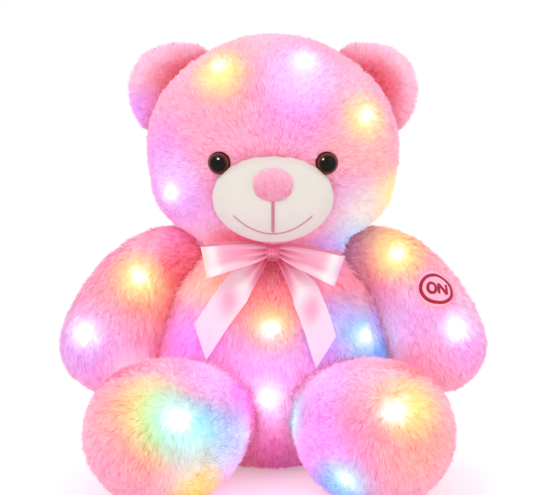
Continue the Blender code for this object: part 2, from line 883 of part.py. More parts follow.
muzzle_size = (MUZZLE_WIDTH, MUZZLE_DEPTH, MUZZLE_HEIGHT)
muzzle = pad("muzzle", muzzle_centre, muzzle_size, cream_plush)
muzzle_tree = surface_tree(muzzle)
cut(muzzle, head_keepout)
muzzle_keepout = pad("muzzle_keepout", muzzle_centre, muzzle_size, hidden=True)
swell(muzzle_keepout, GAP)
nose_size = (NOSE_WIDTH, NOSE_DEPTH, NOSE_HEIGHT)
nose = pad("nose", nose_centre, nose_size, nose_plush, sides=NOSE_SIDES, rings=NOSE_RINGS)
cut(nose, muzzle_keepout)


def front_hit(tree, place, x, z):
    """Where a level line from the front meets a surface, or passes it by, and how it faces there."""
    start = Vector((x, -EVERYWHERE, z)) - place
    hit, normal, _, _ = tree.ray_cast(start, Vector((0.0, 1.0, 0.0)))
    if hit is None:
        hit, normal, _, _ = tree.find_nearest(Vector((x, 0.0, z)) - place)
    return hit + place, normal


def make_mouth():
    """The stitched line under the nose and the smile, laid on the muzzle."""
    lift = THREAD_RADIUS + THREAD_LIFT
    top = nose_centre.z - NOSE_HEIGHT / 2 - THREAD_RADIUS
    line = []
    for i in range(MOUTH_POINTS):
        z = top + (muzzle_centre.z - MOUTH_DROP - top) * i / (MOUTH_POINTS - 1)
        hit, normal = front_hit(muzzle_tree, muzzle_centre, 0.0, z)
        line.append(hit + normal * lift)
    tube("mouth_line", line, THREAD_RADIUS, mouth_thread)
    smile = []
    for i in range(SMILE_POINTS):
        across = i / (SMILE_POINTS - 1) * 2.0 - 1.0
        z = muzzle_centre.z - SMILE_DROP + SMILE_RISE * across**2
        hit, normal = front_hit(muzzle_tree, muzzle_centre, SMILE_WIDTH / 2 * across, z)
        smile.append(hit + normal * lift)
    tube("smile_line", smile, THREAD_RADIUS, mouth_thread)


make_mouth()
head_surface = cage("head_surface", head_stations, HEAD_SIDES, head_axis, hidden=True)
subdivide(head_surface)
head_tree = surface_tree(head_surface)


def make_eye(side_name):
    """A safety eye: a dome on a stem through the cover, held by a washer behind it."""
    side = sides_of[side_name]
    hit, normal = front_hit(head_tree, head_axis, side * eye_point.x, eye_point.z)
    turn = normal.to_track_quat("Z", "Y").to_euler()
    seat = -EYE_SEAT_DEPTH + GAP
    radius, stem = EYE_DIAMETER / 2, EYE_STEM_DIAMETER / 2
    dome = []
    for i in range(DOME_POINTS):
        angle = math.pi / 2 * i / DOME_POINTS
        dome.append((radius * math.sin(angle), seat + EYE_DOME * math.cos(angle)))
    rest = [(radius, seat), (stem, seat), (stem, seat - EYE_STEM_LENGTH), (0.0, seat - EYE_STEM_LENGTH)]
    eye = turned(f"eye_{side_name}", dome + rest, eye_plastic, steps=EYE_STEPS)
    washer_top = -COVER_THICKNESS - GAP * 2
    washer_bottom = washer_top - WASHER_THICKNESS
    hole, rim = stem + GAP, WASHER_DIAMETER / 2
    corners = [(hole, washer_top), (rim, washer_top), (rim, washer_bottom), (hole, washer_bottom)]
    profile = corners + corners[:1]
    washer = turned(f"eye_washer_{side_name}", profile, case_plastic)
    for piece in (eye, washer):
        piece.location = hit
        piece.rotation_euler = turn
    ahead = hit + normal * OVERRUN
    seat_hole = rod(f"eye_seat_{side_name}", ahead, hit - normal * EYE_SEAT_DEPTH, radius + GAP)
    behind = hit - normal * (COVER_THICKNESS + GAP)
    stem_hole = rod(f"eye_hole_{side_name}", ahead, behind - normal * OVERRUN, hole)
    stem_end = hit - normal * (EYE_STEM_LENGTH + EYE_SEAT_DEPTH + GAP)
    pocket = rod(f"eye_pocket_{side_name}", behind, stem_end, rim + GAP, sides=ROUND_SIDES)
    for tool in (seat_hole, stem_hole, pocket):
        cut(head_cover, tool)
    well = rod(f"eye_well_{side_name}", ahead, stem_end, rim + GAP, sides=ROUND_SIDES)
    cut(head_stuffing, well)
    cut(muzzle, seat_hole)


for side_name in sides_of:
    make_eye(side_name)

body_surface = cage("body_surface", body_stations, BODY_SIDES, origin, hidden=True)
subdivide(body_surface)
body_tree = surface_tree(body_surface)


def make_neck_ribbon():
    """The ribbon under the chin, between two clearances of the body, its ends at the shoulders."""
    band = cage("neck_ribbon", body_stations, BODY_SIDES, origin, satin)
    subdivide(band)
    swell(band, GAP + NECK_RIBBON_THICKNESS)
    low = head_bottom + NECK_RIBBON_RISE
    high = low + NECK_RIBBON_WIDTH
    front = box("neck_band", (-EVERYWHERE, -EVERYWHERE, low), (EVERYWHERE, -NECK_RIBBON_BACK, high))
    cut(band, front, "INTERSECT")
    cut(band, body_keepout)
    cut(band, head_sweep)
    for side_name in sides_of:
        for i in range(ARM_SWING_STEPS):
            cut(band, bpy.data.objects[f"arm_{side_name}_keepout_{i}"])


make_neck_ribbon()
knot_z = head_bottom + KNOT_RISE
knot_low, knot_high = knot_z - KNOT_HEIGHT / 2, knot_z + KNOT_HEIGHT / 2
knot_back = min(
    front_hit(body_tree, origin, 0.0, knot_low)[0].y - GAP - NECK_RIBBON_THICKNESS,
    front_hit(head_tree, head_axis, 0.0, knot_high)[0].y - GAP,
)
knot_centre = Vector((0.0, knot_back - KNOT_DEPTH / 2 - GAP, knot_z))
half_knot = Vector((KNOT_WIDTH, KNOT_DEPTH, KNOT_HEIGHT)) / 2
box("bow_knot", knot_centre - half_knot, knot_centre + half_knot, satin, hidden=False, bevel=KNOT_EDGE)


def strip(name, steps, place, look):
    """A ribbon: a grid laid along a path by place(share along, share across), given its thickness."""
    bm = bmesh.new()
    bmesh.ops.create_grid(bm, x_segments=steps, y_segments=RIBBON_CROSS_STEPS, size=0.5)
    for vert in bm.verts:
        vert.co = place(vert.co.x + 0.5, vert.co.y)
    made = add(mesh_from(bm, name), name, look)
    step = made.modifiers.new("cloth", "SOLIDIFY")
    step.thickness = RIBBON_THICKNESS
    step.offset = 0.0
    return made


def make_loop(side_name):
    """One loop of the bow: the ribbon goes out from the knot and back in front of itself."""
    side = sides_of[side_name]
    tilt = LOOP_TILTS[side > 0.0]

    def place(along, across):
        angle = 2.0 * math.pi * along
        reach = (1.0 - math.cos(angle)) / 2.0
        width = RIBBON_WIDTH * (LOOP_PINCH_SHARE + (1.0 - LOOP_PINCH_SHARE) * reach)
        out = LOOP_LENGTH * reach
        rise = across * width
        pleat = PLEAT_DEPTH * (1.0 - reach) * math.cos(2.0 * math.pi * across)
        x = KNOT_WIDTH / 2 + GAP + RIBBON_THICKNESS / 2 + out * math.cos(tilt) + rise * math.sin(tilt) * reach
        z = rise * math.cos(tilt) - out * math.sin(tilt) - LOOP_DROP
        y = LOOP_ROOT * math.cos(angle / 2.0) + LOOP_BULGE * math.sin(angle) - pleat - LOOP_FORWARD
        return knot_centre + Vector((side * x, y, z))

    strip(f"bow_loop_{side_name}", LOOP_STEPS, place, satin)


def route_point(points, share):
    """A point on the smooth curve through all the points, and its direction."""
    spans = len(points) - 1
    at = min(share * spans, spans - GAP)
    span = int(at)
    t = at - span
    p1, p2 = points[span], points[span + 1]
    p0 = points[span - 1] if span else p1 * 2.0 - p2
    p3 = points[span + 2] if span + 2 <= spans else p2 * 2.0 - p1
    slope1, slope2 = (p2 - p0) / 2.0, (p3 - p1) / 2.0
    place = (
        p1 * (2 * t**3 - 3 * t**2 + 1)
        + slope1 * (t**3 - 2 * t**2 + t)
        + p2 * (3 * t**2 - 2 * t**3)
        + slope2 * (t**3 - t**2)
    )
    way = (
        p1 * (6 * t**2 - 6 * t)
        + slope1 * (3 * t**2 - 4 * t + 1)
        + p2 * (6 * t - 6 * t**2)
        + slope2 * (3 * t**2 - 2 * t)
    )
    return place, way.normalized()


def make_tail(side_name):
    """One tail of the bow, laid down the chest, wider and flatter away from the knot."""
    side = sides_of[side_name]
    route = [Vector((x, 0.0, knot_z + z)) for x, z in TAIL_ROUTES[side > 0.0]]

    def place(along, across):
        point, way = route_point(route, along)
        spread = min(1.0, along / TAIL_SPREAD_SHARE)
        width = RIBBON_WIDTH * (LOOP_PINCH_SHARE + (1.0 - LOOP_PINCH_SHARE) * spread)
        sideways = Vector((way.z, 0.0, -way.x))
        point = point + sideways * (across * width) + way * (across * TAIL_END_SLANT * along)
        depth = PLEAT_DEPTH * (TAIL_ROOT_PLEAT_SHARE * (1.0 - spread) + TAIL_PLEAT_SHARE)
        pleat = depth * (1.0 + math.cos(2.0 * math.pi * (across * TAIL_PLEATS + along)))
        hit, _ = front_hit(body_tree, origin, point.x, point.z)
        return Vector((point.x, hit.y - TAIL_LIFT - pleat, point.z))

    strip(f"bow_tail_{side_name}", TAIL_STEPS, place, satin)


for side_name in sides_of:
    make_loop(side_name)
    make_tail(side_name)


def lamp_spot(tree, place, x, z):
    """A lamp's place: just under the stuffing's surface where a level line from the front meets it."""
    hit, normal = front_hit(tree, place, x, z)
    return hit - normal * LAMP_DEPTH


def beads(name, places, radius, hidden=True):
    """Lamp beads at the places, as one mesh."""
    bm = bmesh.new()
    for spot in places:
        bmesh.ops.create_uvsphere(
            bm, u_segments=LAMP_SIDES, v_segments=LAMP_RINGS, radius=radius, matrix=Matrix.Translation(spot)
        )
    return add(mesh_from(bm, name), name, None, hidden)


def lamp_string(name, filled, route, lamps):
    """A lamp string along its route and the tunnel for it. The route starts outside the stuffing."""
    wire = tube(name, route, WIRE_RADIUS, lamp_plastic)
    cut(wire, beads(name + "_beads", lamps, LAMP_RADIUS), "UNION")
    outer = route[0] + (route[0] - route[1]).normalized() * OVERRUN
    cut(filled, tube(name + "_tunnel", [outer] + route[1:], WIRE_RADIUS + STRING_CLEARANCE, hidden=True))
    cut(filled, beads(name + "_pockets", lamps, LAMP_RADIUS + STRING_CLEARANCE))


def stuffing_tree(name, stations, sides, pivot):
    """A search tree over the stuffing before it is cut."""
    return surface_tree(
        inner_form(name, stations, sides, pivot, COVER_THICKNESS + STUFFING_CLEARANCE, hidden=True)
    )


def root_lead(stations):
    """The start of a limb's wire, in the opening at its root, and its first point inside."""
    root, inside = stations[0][0], stations[2][0]
    inward = (inside - root).normalized()
    return [root + inward * COVER_THICKNESS / 2, root + inward * (COVER_THICKNESS + LAMP_DEPTH)]


def string_arm(side_name):
    """Two lamps on a wire that goes behind the elbow, clear of the switch."""
    side = sides_of[side_name]
    _, filled, rows = arms[side_name]
    pivot = mirrored(shoulder_point, side)
    tree = stuffing_tree(f"arm_{side_name}_core", rows, ARM_SIDES, pivot)
    upper, lower = (
        lamp_spot(tree, pivot, pivot.x + side * x, pivot.z + z) for x, z in ARM_LAMPS[side_name]
    )
    bend = limb_point(pivot, mirrored(elbow_point, side), mirrored(paw_point, side), ARM_WIRE_BEND_SHARE)
    bend = bend + Vector((0.0, ARM_WIRE_BACK, 0.0))
    route = root_lead(rows) + [upper, bend, lower]
    lamp_string(f"led_string_arm_{side_name}", filled, route, [upper, lower])


def string_leg(side_name):
    side = sides_of[side_name]
    _, filled, rows = legs[side_name]
    pivot = mirrored(hip_point, side)
    tree = stuffing_tree(f"leg_{side_name}_core", rows, LEG_SIDES, pivot)
    lamps = [
        lamp_spot(tree, pivot, side * (foot_point.x + x), foot_point.z + z) for x, z in LEG_LAMPS[side_name]
    ]
    lamp_string(f"led_string_leg_{side_name}", filled, root_lead(rows) + lamps, lamps)


def string_head():
    tree = stuffing_tree("head_core", head_stations, HEAD_SIDES, head_axis)
    lamps = []
    for across, up in HEAD_LAMP_SHARES:
        spot = on_head((across, 0.0, up))
        lamps.append(lamp_spot(tree, head_axis, spot.x, spot.z))
    start = head_axis + Vector((0.0, 0.0, COVER_THICKNESS))
    inside = start + Vector((0.0, 0.0, NECK_OPENING_RADIUS))
    lamp_string("led_string_head", head_stuffing, [start, inside] + lamps, lamps)


for side_name in sides_of:
    string_arm(side_name)
    string_leg(side_name)
string_head()

bay_half = (CELL_PITCH * (CELL_COUNT - 1) + CELL_DIAMETER) / 2 + GAP
bay_length = CELL_LENGTH + CONTACT_ROOM * 2
case_half = bay_half + CASE_WALL
case_rim = case_back - LID_THICKNESS - GAP
case_floor = case_rim - CELL_DIAMETER - GAP * 2
case_front = case_floor - CASE_WALL
board_low = case_bottom + CASE_WALL
bay_low = board_low + BOARD_ROOM + CASE_WALL
case_top = bay_low + bay_length + CASE_WALL
lead_x, lead_z = -bay_half / 2, board_low + BOARD_ROOM / 2
boss_x = bay_half * BOSS_PLACE_SHARE
cell_y = case_floor + GAP + CELL_DIAMETER / 2
cell_low = bay_low + CONTACT_ROOM
cell_places = [CELL_PITCH * (i - (CELL_COUNT - 1) / 2) for i in range(CELL_COUNT)]


def level_rod(name, x, z, start_y, end_y, radius):
    """A rod or hole that runs front to back."""
    return rod(name, (x, start_y, z), (x, end_y, z), radius, sides=ROUND_SIDES)


def make_case():
    """The case with its cell bay, its board bay, the screw boss and a hole for the lamps' wire."""
    low, high = (-case_half, case_front, case_bottom), (case_half, case_rim, case_top)
    case = box("battery_case", low, high, case_plastic, hidden=False)
    past = case_rim + OVERRUN
    cut(case, box("cell_bay", (-bay_half, case_floor, bay_low), (bay_half, past, bay_low + bay_length)))
    cut(case, box("board_bay", (-bay_half, case_floor, board_low), (bay_half, past, board_low + BOARD_ROOM)))
    boss_start = case_floor - CASE_WALL / 2
    cut(case, level_rod("screw_boss", boss_x, lead_z, boss_start, case_rim - GAP, BOSS_DIAMETER / 2), "UNION")
    screw_end = case_back - SCREW_SINK - SCREW_LENGTH - GAP
    cut(case, level_rod("screw_pilot", boss_x, lead_z, screw_end, past, SCREW_DIAMETER / 2 + GAP))
    lead_end = case_floor + OVERRUN
    radius = WIRE_RADIUS + STRING_CLEARANCE
    cut(case, level_rod("lead_hole", lead_x, lead_z, case_front - OVERRUN, lead_end, radius))


def make_lid():
    """The lid and the small screw that keeps it shut."""
    low, high = (-case_half, case_rim + GAP, case_bottom), (case_half, case_back, case_top)
    lid = box("battery_cover", low, high, case_plastic, hidden=False, bevel=LID_EDGE)
    past = case_back + OVERRUN
    cut(lid, level_rod("lid_hole", boss_x, lead_z, case_rim - OVERRUN, past, SCREW_DIAMETER / 2 + GAP))
    sink = case_back - SCREW_SINK
    cut(lid, level_rod("lid_sink", boss_x, lead_z, sink, past, SCREW_HEAD_DIAMETER / 2 + GAP))
    head, shaft = SCREW_HEAD_DIAMETER / 2, SCREW_DIAMETER / 2
    profile = [
        (0.0, SCREW_HEAD_HEIGHT),
        (head * SCREW_CROWN_SHARE, SCREW_HEAD_HEIGHT),
        (head, SCREW_HEAD_HEIGHT / 2),
        (head, 0.0),
        (shaft, 0.0),
        (shaft, -SCREW_LENGTH + SCREW_DIAMETER),
        (0.0, -SCREW_LENGTH),
    ]
    screw = turned("battery_cover_screw", profile, steel)
    screw.location = (boss_x, sink + GAP, lead_z)
    screw.rotation_euler = (-math.pi / 2, 0.0, 0.0)


def make_cells():
    radius, cap = CELL_DIAMETER / 2, CELL_CAP_DIAMETER / 2
    shoulder = CELL_LENGTH - CELL_CAP_HEIGHT
    tip = [(0.0, CELL_LENGTH), (cap, CELL_LENGTH), (cap, shoulder)]
    profile = tip + [(radius, shoulder), (radius, 0.0), (0.0, 0.0)]
    for i, x in enumerate(cell_places):
        cell = turned(f"battery_cell_{i + 1}", profile, cell_wrap)
        cell.location = (x, cell_y, cell_low)


def helix(radius, top_radius, low, high, turns, turn_points):
    """Points up a coil round the Z axis, from one radius to another."""
    count = turns * turn_points
    points = []
    for k in range(count + 1):
        share = k / count
        angle = 2.0 * math.pi * turns * share
        reach = radius + (top_radius - radius) * share
        points.append(Vector((reach * math.cos(angle), reach * math.sin(angle), low + (high - low) * share)))
    return points


def make_contacts():
    """The strip with a coil under each cell and the strip with a dimple over each."""
    half, depth = bay_half - GAP, CELL_DIAMETER / 2 - GAP
    low = bay_low + GAP
    strip_top = low + CONTACT_THICKNESS
    corners = (-half, cell_y - depth, low), (half, cell_y + depth, strip_top)
    springs = box("contact_springs", *corners, steel, hidden=False)
    start, end = strip_top + COIL_WIRE_RADIUS / 2, cell_low - GAP - COIL_WIRE_RADIUS
    coil = helix(COIL_RADIUS, COIL_TOP_RADIUS, start, end, COIL_TURNS, COIL_TURN_POINTS)
    high = bay_low + bay_length - GAP
    plate = box(
        "contact_plate",
        (-half, cell_y - depth, high - CONTACT_THICKNESS),
        (half, cell_y + depth, high),
        steel,
        hidden=False,
    )
    for i, x in enumerate(cell_places):
        place = Vector((x, cell_y, 0.0))
        turns = [place + point for point in coil]
        wire = tube(f"contact_coil_{i}", turns, COIL_WIRE_RADIUS, hidden=True, resolution=0)
        cut(springs, wire, "UNION")
        tip = place + Vector((0.0, 0.0, cell_low + CELL_LENGTH + GAP))
        seat = place + Vector((0.0, 0.0, high - CONTACT_THICKNESS / 2))
        cut(plate, rod(f"contact_dimple_{i}", tip, seat, CELL_CAP_DIAMETER / 2, sides=ROUND_SIDES), "UNION")


def make_board():
    """The flasher board beside the screw boss, with its one chip."""
    face = case_floor + GAP + BOARD_THICKNESS
    left, right = -bay_half + GAP, boss_x - BOSS_DIAMETER / 2 - GAP
    low, high = (left, case_floor + GAP, board_low + GAP), (right, face, board_low + BOARD_ROOM - GAP)
    board = box("control_board", low, high, board_laminate, hidden=False)
    middle = Vector(((left + right) / 2, face, lead_z))
    half = Vector((CHIP_SIZE / 2, BOARD_THICKNESS / 2, CHIP_SIZE / 2))
    chip = box("board_chip", middle - half, middle + half + Vector((0.0, CHIP_THICKNESS, 0.0)))
    cut(board, chip, "UNION")


make_case()
make_lid()
make_cells()
make_contacts()
make_board()
room_low = (-case_half - GAP, case_front - GAP, case_bottom - GAP)
cut(body_stuffing, box("battery_pocket", room_low, (case_half + GAP, EVERYWHERE, case_top + GAP)))

body_core = stuffing_tree("body_core", body_stations, BODY_SIDES, origin)
body_lamps = []
for across, up in BODY_LAMP_SHARES:
    spot = on_body((across, 0.0, up))
    body_lamps.append(lamp_spot(body_core, origin, spot.x, spot.z))
lead_start = Vector((lead_x, case_front - GAP, lead_z))
lead_inside = lead_start - Vector((0.0, bay_half * 2, 0.0))
lamp_string("led_string_body", body_stuffing, [lead_start, lead_inside] + body_lamps, body_lamps)

zip_top = zip_bottom + ZIP_LENGTH
tape_back = zip_plane + TAPE_THICKNESS
chain_front, chain_back = tape_back + GAP, tape_back + GAP + CHAIN_THICKNESS


def make_tapes():
    """Two tapes behind the cover's slit and the closed chain over them."""
    low_z, high_z = zip_bottom - TAPE_END, zip_top + TAPE_END
    for side_name, side in sides_of.items():
        low_x, high_x = sorted((side * GAP / 2, side * TAPE_WIDTH))
        low, high = (low_x, zip_plane, low_z), (high_x, tape_back, high_z)
        box(f"zip_tape_{side_name}", low, high, tape_cloth, hidden=False)
    half = CHAIN_WIDTH / 2
    box("zip_chain", (-half, chain_front, zip_bottom), (half, chain_back, zip_top), tape_cloth, hidden=False)
    reach = TAPE_WIDTH + GAP
    behind = (-reach, zip_plane - GAP, low_z - GAP)
    cut(body_cover, box("tape_seat", behind, (reach, tape_back + GAP, high_z + GAP)))
    cut(body_stuffing, box("tape_room", behind, (reach, EVERYWHERE, high_z + GAP)))
    slit = SLIT_WIDTH / 2
    cut(body_cover, box("zip_slit", (-slit, zip_plane, zip_bottom - GAP), (slit, EVERYWHERE, zip_top + GAP)))


def make_slider():
    """The slider round the chain, with the arched bail that carries the pull."""
    half, outer = CHAIN_WIDTH / 2 + GAP, SLIDER_WIDTH / 2
    roof_inside, roof = chain_back + GAP, chain_back + GAP + SLIDER_WALL
    high = zip_top - SLIDER_REST
    low = high - SLIDER_LENGTH
    slider = box(
        "zip_slider", (-outer, chain_front, low), (outer, roof, high), steel, hidden=False, bevel=SLIDER_EDGE
    )
    channel_low = (-half, chain_front - OVERRUN, low - OVERRUN)
    cut(slider, box("slider_channel", channel_low, (half, roof_inside, high + OVERRUN)))
    pin_z = high - SLIDER_LENGTH * BAIL_PLACE_SHARE
    foot, top = SLIDER_LENGTH * BAIL_REACH_SHARE, SLIDER_LENGTH * BAIL_REACH_SHARE * BAIL_TOP_SHARE
    foot_y, bar_y = roof - SLIDER_WALL / 2, roof + BAIL_RISE + BAIL_RADIUS
    arch = [(foot_y, foot), (bar_y, top), (bar_y, -top), (foot_y, -foot)]
    rail = [Vector((0.0, y, pin_z + z)) for y, z in arch]
    cut(slider, tube("zip_bail", rail, BAIL_RADIUS, hidden=True), "UNION")
    return Vector((0.0, roof + BAIL_RISE / 2, pin_z))


def make_pull(pin):
    """The pull tab, hung by the bar at its top in the bail."""
    half, thick = PULL_WIDTH / 2, PULL_THICKNESS / 2
    bar = Vector((0.0, thick, thick))
    low, high = Vector((-half, -thick, thick - PULL_LENGTH)), Vector((half, thick, thick))
    pull = box("zip_pull", low, high, steel, hidden=False, bevel=PULL_EDGE)
    pull.data.transform(Matrix.Translation(pull.location))
    pull.location = pin
    eye = PULL_EYE_WIDTH / 2
    eye_low, eye_high = Vector((-eye, -OVERRUN, -bar.z - PULL_EYE_LENGTH)), Vector((eye, OVERRUN, -bar.z))
    cut(pull, box("pull_eye", pin + eye_low, pin + eye_high))


make_tapes()
make_pull(make_slider())


arm_cover, arm_filled, arm_stations = arms["right"]
arm_pivot = mirrored(shoulder_point, sides_of["right"])
arm_surface = cage("arm_surface", arm_stations, ARM_SIDES, arm_pivot, hidden=True)
subdivide(arm_surface)
arm_tree = surface_tree(arm_surface)
switch_spot = arm_pivot + SWITCH_REACH
switch_place, switch_out = front_hit(arm_tree, arm_pivot, switch_spot.x, switch_spot.z)
switch_turn = switch_out.to_track_quat("Z", "Y").to_euler()
flange_foot = HOUSING_TOP + HOUSING_FLANGE
housing_foot = flange_foot + HOUSING_DEPTH
button_foot = BUTTON_DROP + BUTTON_LENGTH


def under_patch(depth):
    """A point on the switch's axis, a depth under the arm's surface."""
    return switch_place - switch_out * depth


def make_patch():
    """The round of cover over the switch, loose in its hole, and the room for the switch behind it."""
    deepest = under_patch(PATCH_ROOM + PRESS_TRAVEL)
    hole = rod("patch_hole", under_patch(-OVERRUN * 2), deepest, PATCH_RADIUS + GAP)
    cut(arm_cover, hole)
    recess = rod("patch_recess", under_patch(-OVERRUN), under_patch(flange_foot), PATCH_RADIUS + GAP * 2)
    cut(arm_filled, recess)
    well_end = under_patch(housing_foot + GAP)
    cut(arm_filled, rod("housing_well", under_patch(0.0), well_end, HOUSING_RADIUS + GAP, sides=ROUND_SIDES))
    patch = cage("on_patch", arm_stations, ARM_SIDES, arm_pivot, plush)
    subdivide(patch)
    make_shell(patch, PATCH_THICKNESS)
    keep = rod("patch_keep", under_patch(-OVERRUN * 2), under_patch(PATCH_RADIUS), PATCH_RADIUS)
    cut(patch, keep, "INTERSECT")


def make_press():
    """The housing, the button that slides in it and the coil spring under the button."""
    bore = BUTTON_RADIUS + GAP
    bore_floor = -housing_foot + HOUSING_FLOOR
    housing = turned(
        "switch_housing",
        [
            (0.0, bore_floor),
            (bore, bore_floor),
            (bore, -HOUSING_TOP),
            (HOUSING_FLANGE_RADIUS, -HOUSING_TOP),
            (HOUSING_FLANGE_RADIUS, -flange_foot + GAP),
            (HOUSING_RADIUS, -flange_foot + GAP),
            (HOUSING_RADIUS, -housing_foot),
            (0.0, -housing_foot),
        ],
        case_plastic,
    )
    top, foot = -BUTTON_DROP, -button_foot
    outline = [(0.0, top), (BUTTON_RADIUS, top), (BUTTON_RADIUS, foot), (0.0, foot)]
    button = turned("switch_button", outline, case_plastic)
    low, high = bore_floor + GAP + SPRING_WIRE_RADIUS, -button_foot - GAP - SPRING_WIRE_RADIUS
    coil = helix(SPRING_RADIUS, SPRING_RADIUS, low, high, SPRING_TURNS, SPRING_TURN_POINTS)
    spring = tube("switch_spring", coil, SPRING_WIRE_RADIUS, steel, resolution=0)
    for piece in (housing, button, spring):
        piece.location = switch_place
        piece.rotation_euler = switch_turn


mark_up = (Vector((0.0, 0.0, 1.0)) - switch_out * switch_out.z).normalized()
mark_right = mark_up.cross(switch_out)


def on_patch(x, y):
    """A point of the mark, turned with it and laid on the patch along the switch's axis."""
    turned_x = x * math.cos(LETTER_TURN) + y * math.sin(LETTER_TURN)
    turned_y = y * math.cos(LETTER_TURN) - x * math.sin(LETTER_TURN)
    start = under_patch(-PATCH_RADIUS) + mark_right * turned_x + mark_up * turned_y - arm_pivot
    place, facing, _, _ = arm_tree.ray_cast(start, -switch_out)
    return place + arm_pivot + facing * (MARK_THREAD_RADIUS + GAP)


def make_mark():
    """The stitched ring with the two letters in it."""
    for name, width, height, x, count in (
        ("on_ring", MARK_RING_WIDTH, MARK_RING_HEIGHT, 0.0, MARK_RING_POINTS),
        ("on_letter_o", LETTER_WIDTH, LETTER_HEIGHT, -LETTER_PITCH / 2, LETTER_POINTS),
    ):
        angles = [2.0 * math.pi * i / count for i in range(count)]
        points = [on_patch(x + width / 2 * math.cos(a), height / 2 * math.sin(a)) for a in angles]
        tube(name, points, MARK_THREAD_RADIUS, thread, closed=True)
    half_width, half_height = LETTER_WIDTH / 2, LETTER_HEIGHT / 2
    corners = [
        (-half_width, -half_height),
        (-half_width, half_height),
        (half_width, -half_height),
        (half_width, half_height),
    ]
    stroke = [on_patch(LETTER_PITCH / 2 + corners[0][0], corners[0][1])]
    for (x0, y0), (x1, y1) in zip(corners, corners[1:]):
        for i in range(LETTER_STEPS):
            share = (i + 1) / LETTER_STEPS
            stroke.append(on_patch(LETTER_PITCH / 2 + x0 + (x1 - x0) * share, y0 + (y1 - y0) * share))
    tube("on_letter_n", stroke, MARK_THREAD_RADIUS, thread)


make_patch()
make_press()
make_mark()
print("switch place", [round(c, 5) for c in switch_place], "facing", [round(c, 4) for c in switch_out])
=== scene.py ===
"""Sitting plush bear with lamps under its fur: skins, combed fur, satin bow, stitched mark and back zip.
Metres, +Z up, the bear faces -Y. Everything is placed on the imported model's own solids."""
import math

import bmesh
import bpy
import numpy as np
from mathutils import Matrix, Vector
from mathutils.bvhtree import BVHTree


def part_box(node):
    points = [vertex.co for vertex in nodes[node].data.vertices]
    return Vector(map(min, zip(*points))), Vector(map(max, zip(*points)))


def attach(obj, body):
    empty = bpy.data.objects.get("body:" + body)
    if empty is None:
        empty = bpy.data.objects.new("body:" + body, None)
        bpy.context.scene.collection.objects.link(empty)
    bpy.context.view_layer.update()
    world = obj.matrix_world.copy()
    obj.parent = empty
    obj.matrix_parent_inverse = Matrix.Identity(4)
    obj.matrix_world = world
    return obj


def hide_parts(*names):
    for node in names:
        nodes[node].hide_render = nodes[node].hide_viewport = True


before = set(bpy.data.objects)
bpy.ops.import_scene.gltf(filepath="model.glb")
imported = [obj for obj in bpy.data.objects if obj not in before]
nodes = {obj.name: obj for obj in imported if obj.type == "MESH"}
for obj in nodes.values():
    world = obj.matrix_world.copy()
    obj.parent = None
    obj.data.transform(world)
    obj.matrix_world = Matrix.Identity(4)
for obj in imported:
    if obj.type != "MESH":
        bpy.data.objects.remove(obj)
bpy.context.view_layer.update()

# The camera comes first: it stands 1.5 m off, 11 degrees above level
IMAGE_WIDTH, IMAGE_HEIGHT = 533, 495
FOCAL_PIXELS = 1829.0
CENTRE_PIXEL = (273.0, 251.33)
CAMERA_PITCH = math.radians(11)
CAMERA_DISTANCE = 1.5
CAMERA_TARGET = Vector((0.0, 0.0, 0.17))
SENSOR = 36.0

# Pile of the plush
HEAD_PILE, BODY_PILE, LIMB_PILE, EAR_PILE, SOLE_PILE = 0.0086, 0.0098, 0.0098, 0.0076, 0.0108
PILE_INSET = 0.0042
ARM_INSET = -0.0006
EAR_INSET = 0.0020
MUZZLE_INSET = -0.0012
NOSE_INSET = 0.0003
VOXEL = 0.0026
STRAND_WIDTH, FUZZ_WIDTH = 0.00050, 0.00034
CLUMP_SIZE = 0.0024
CREASE_REACH = 0.0062
SEAM_REACH = 0.0024
BASE_GLOW = 0.20
SETTLE_ROUNDS, SOLE_ROUNDS = 3, 12
JOIN_REACH = 0.008
SOLE_SECTORS = 24
FLOOR_GAP, FUR_FLOOR_GAP = 0.0012, 0.0003
ROOT_DEPTH = 0.0005

# The stitched mark on the arm lies square to this axis
MARK_PLACE = np.array([0.1315, -0.03901, 0.148])
MARK_OUT = np.array([0.3275, -0.7421, 0.5848])
MARK_RING = (0.0276, 0.0238)
LETTER_SIZE = (0.0070, 0.0086)
MARK_SHIFT = (0.0002, -0.0006)
LETTER_PITCH = 0.0096
LETTER_TURN = math.radians(12)


def srgb(*levels):
    """A colour written as 0 to 255 on screen, as the shader's linear values."""
    return tuple(((c / 255 + 0.055) / 1.055) ** 2.4 if c > 10 else c / 255 / 12.92 for c in levels)


def clipped(value):
    return min(1.0, max(0.0, value))


def make_camera():
    data = bpy.data.cameras.new("camera")
    data.sensor_width = SENSOR
    data.lens = SENSOR * FOCAL_PIXELS / IMAGE_WIDTH
    data.shift_x = -(CENTRE_PIXEL[0] - IMAGE_WIDTH / 2) / IMAGE_WIDTH
    data.shift_y = (CENTRE_PIXEL[1] - IMAGE_HEIGHT / 2) / IMAGE_WIDTH
    data.clip_start, data.clip_end = 0.05, 60.0
    camera = bpy.data.objects.new("camera", data)
    bpy.context.scene.collection.objects.link(camera)
    back = Vector((0.0, -math.cos(CAMERA_PITCH), math.sin(CAMERA_PITCH)))
    camera.location = CAMERA_TARGET + back * CAMERA_DISTANCE
    camera.rotation_euler = (math.pi / 2 - CAMERA_PITCH, 0.0, 0.0)
    bpy.context.scene.camera = camera
    return camera


camera = make_camera()


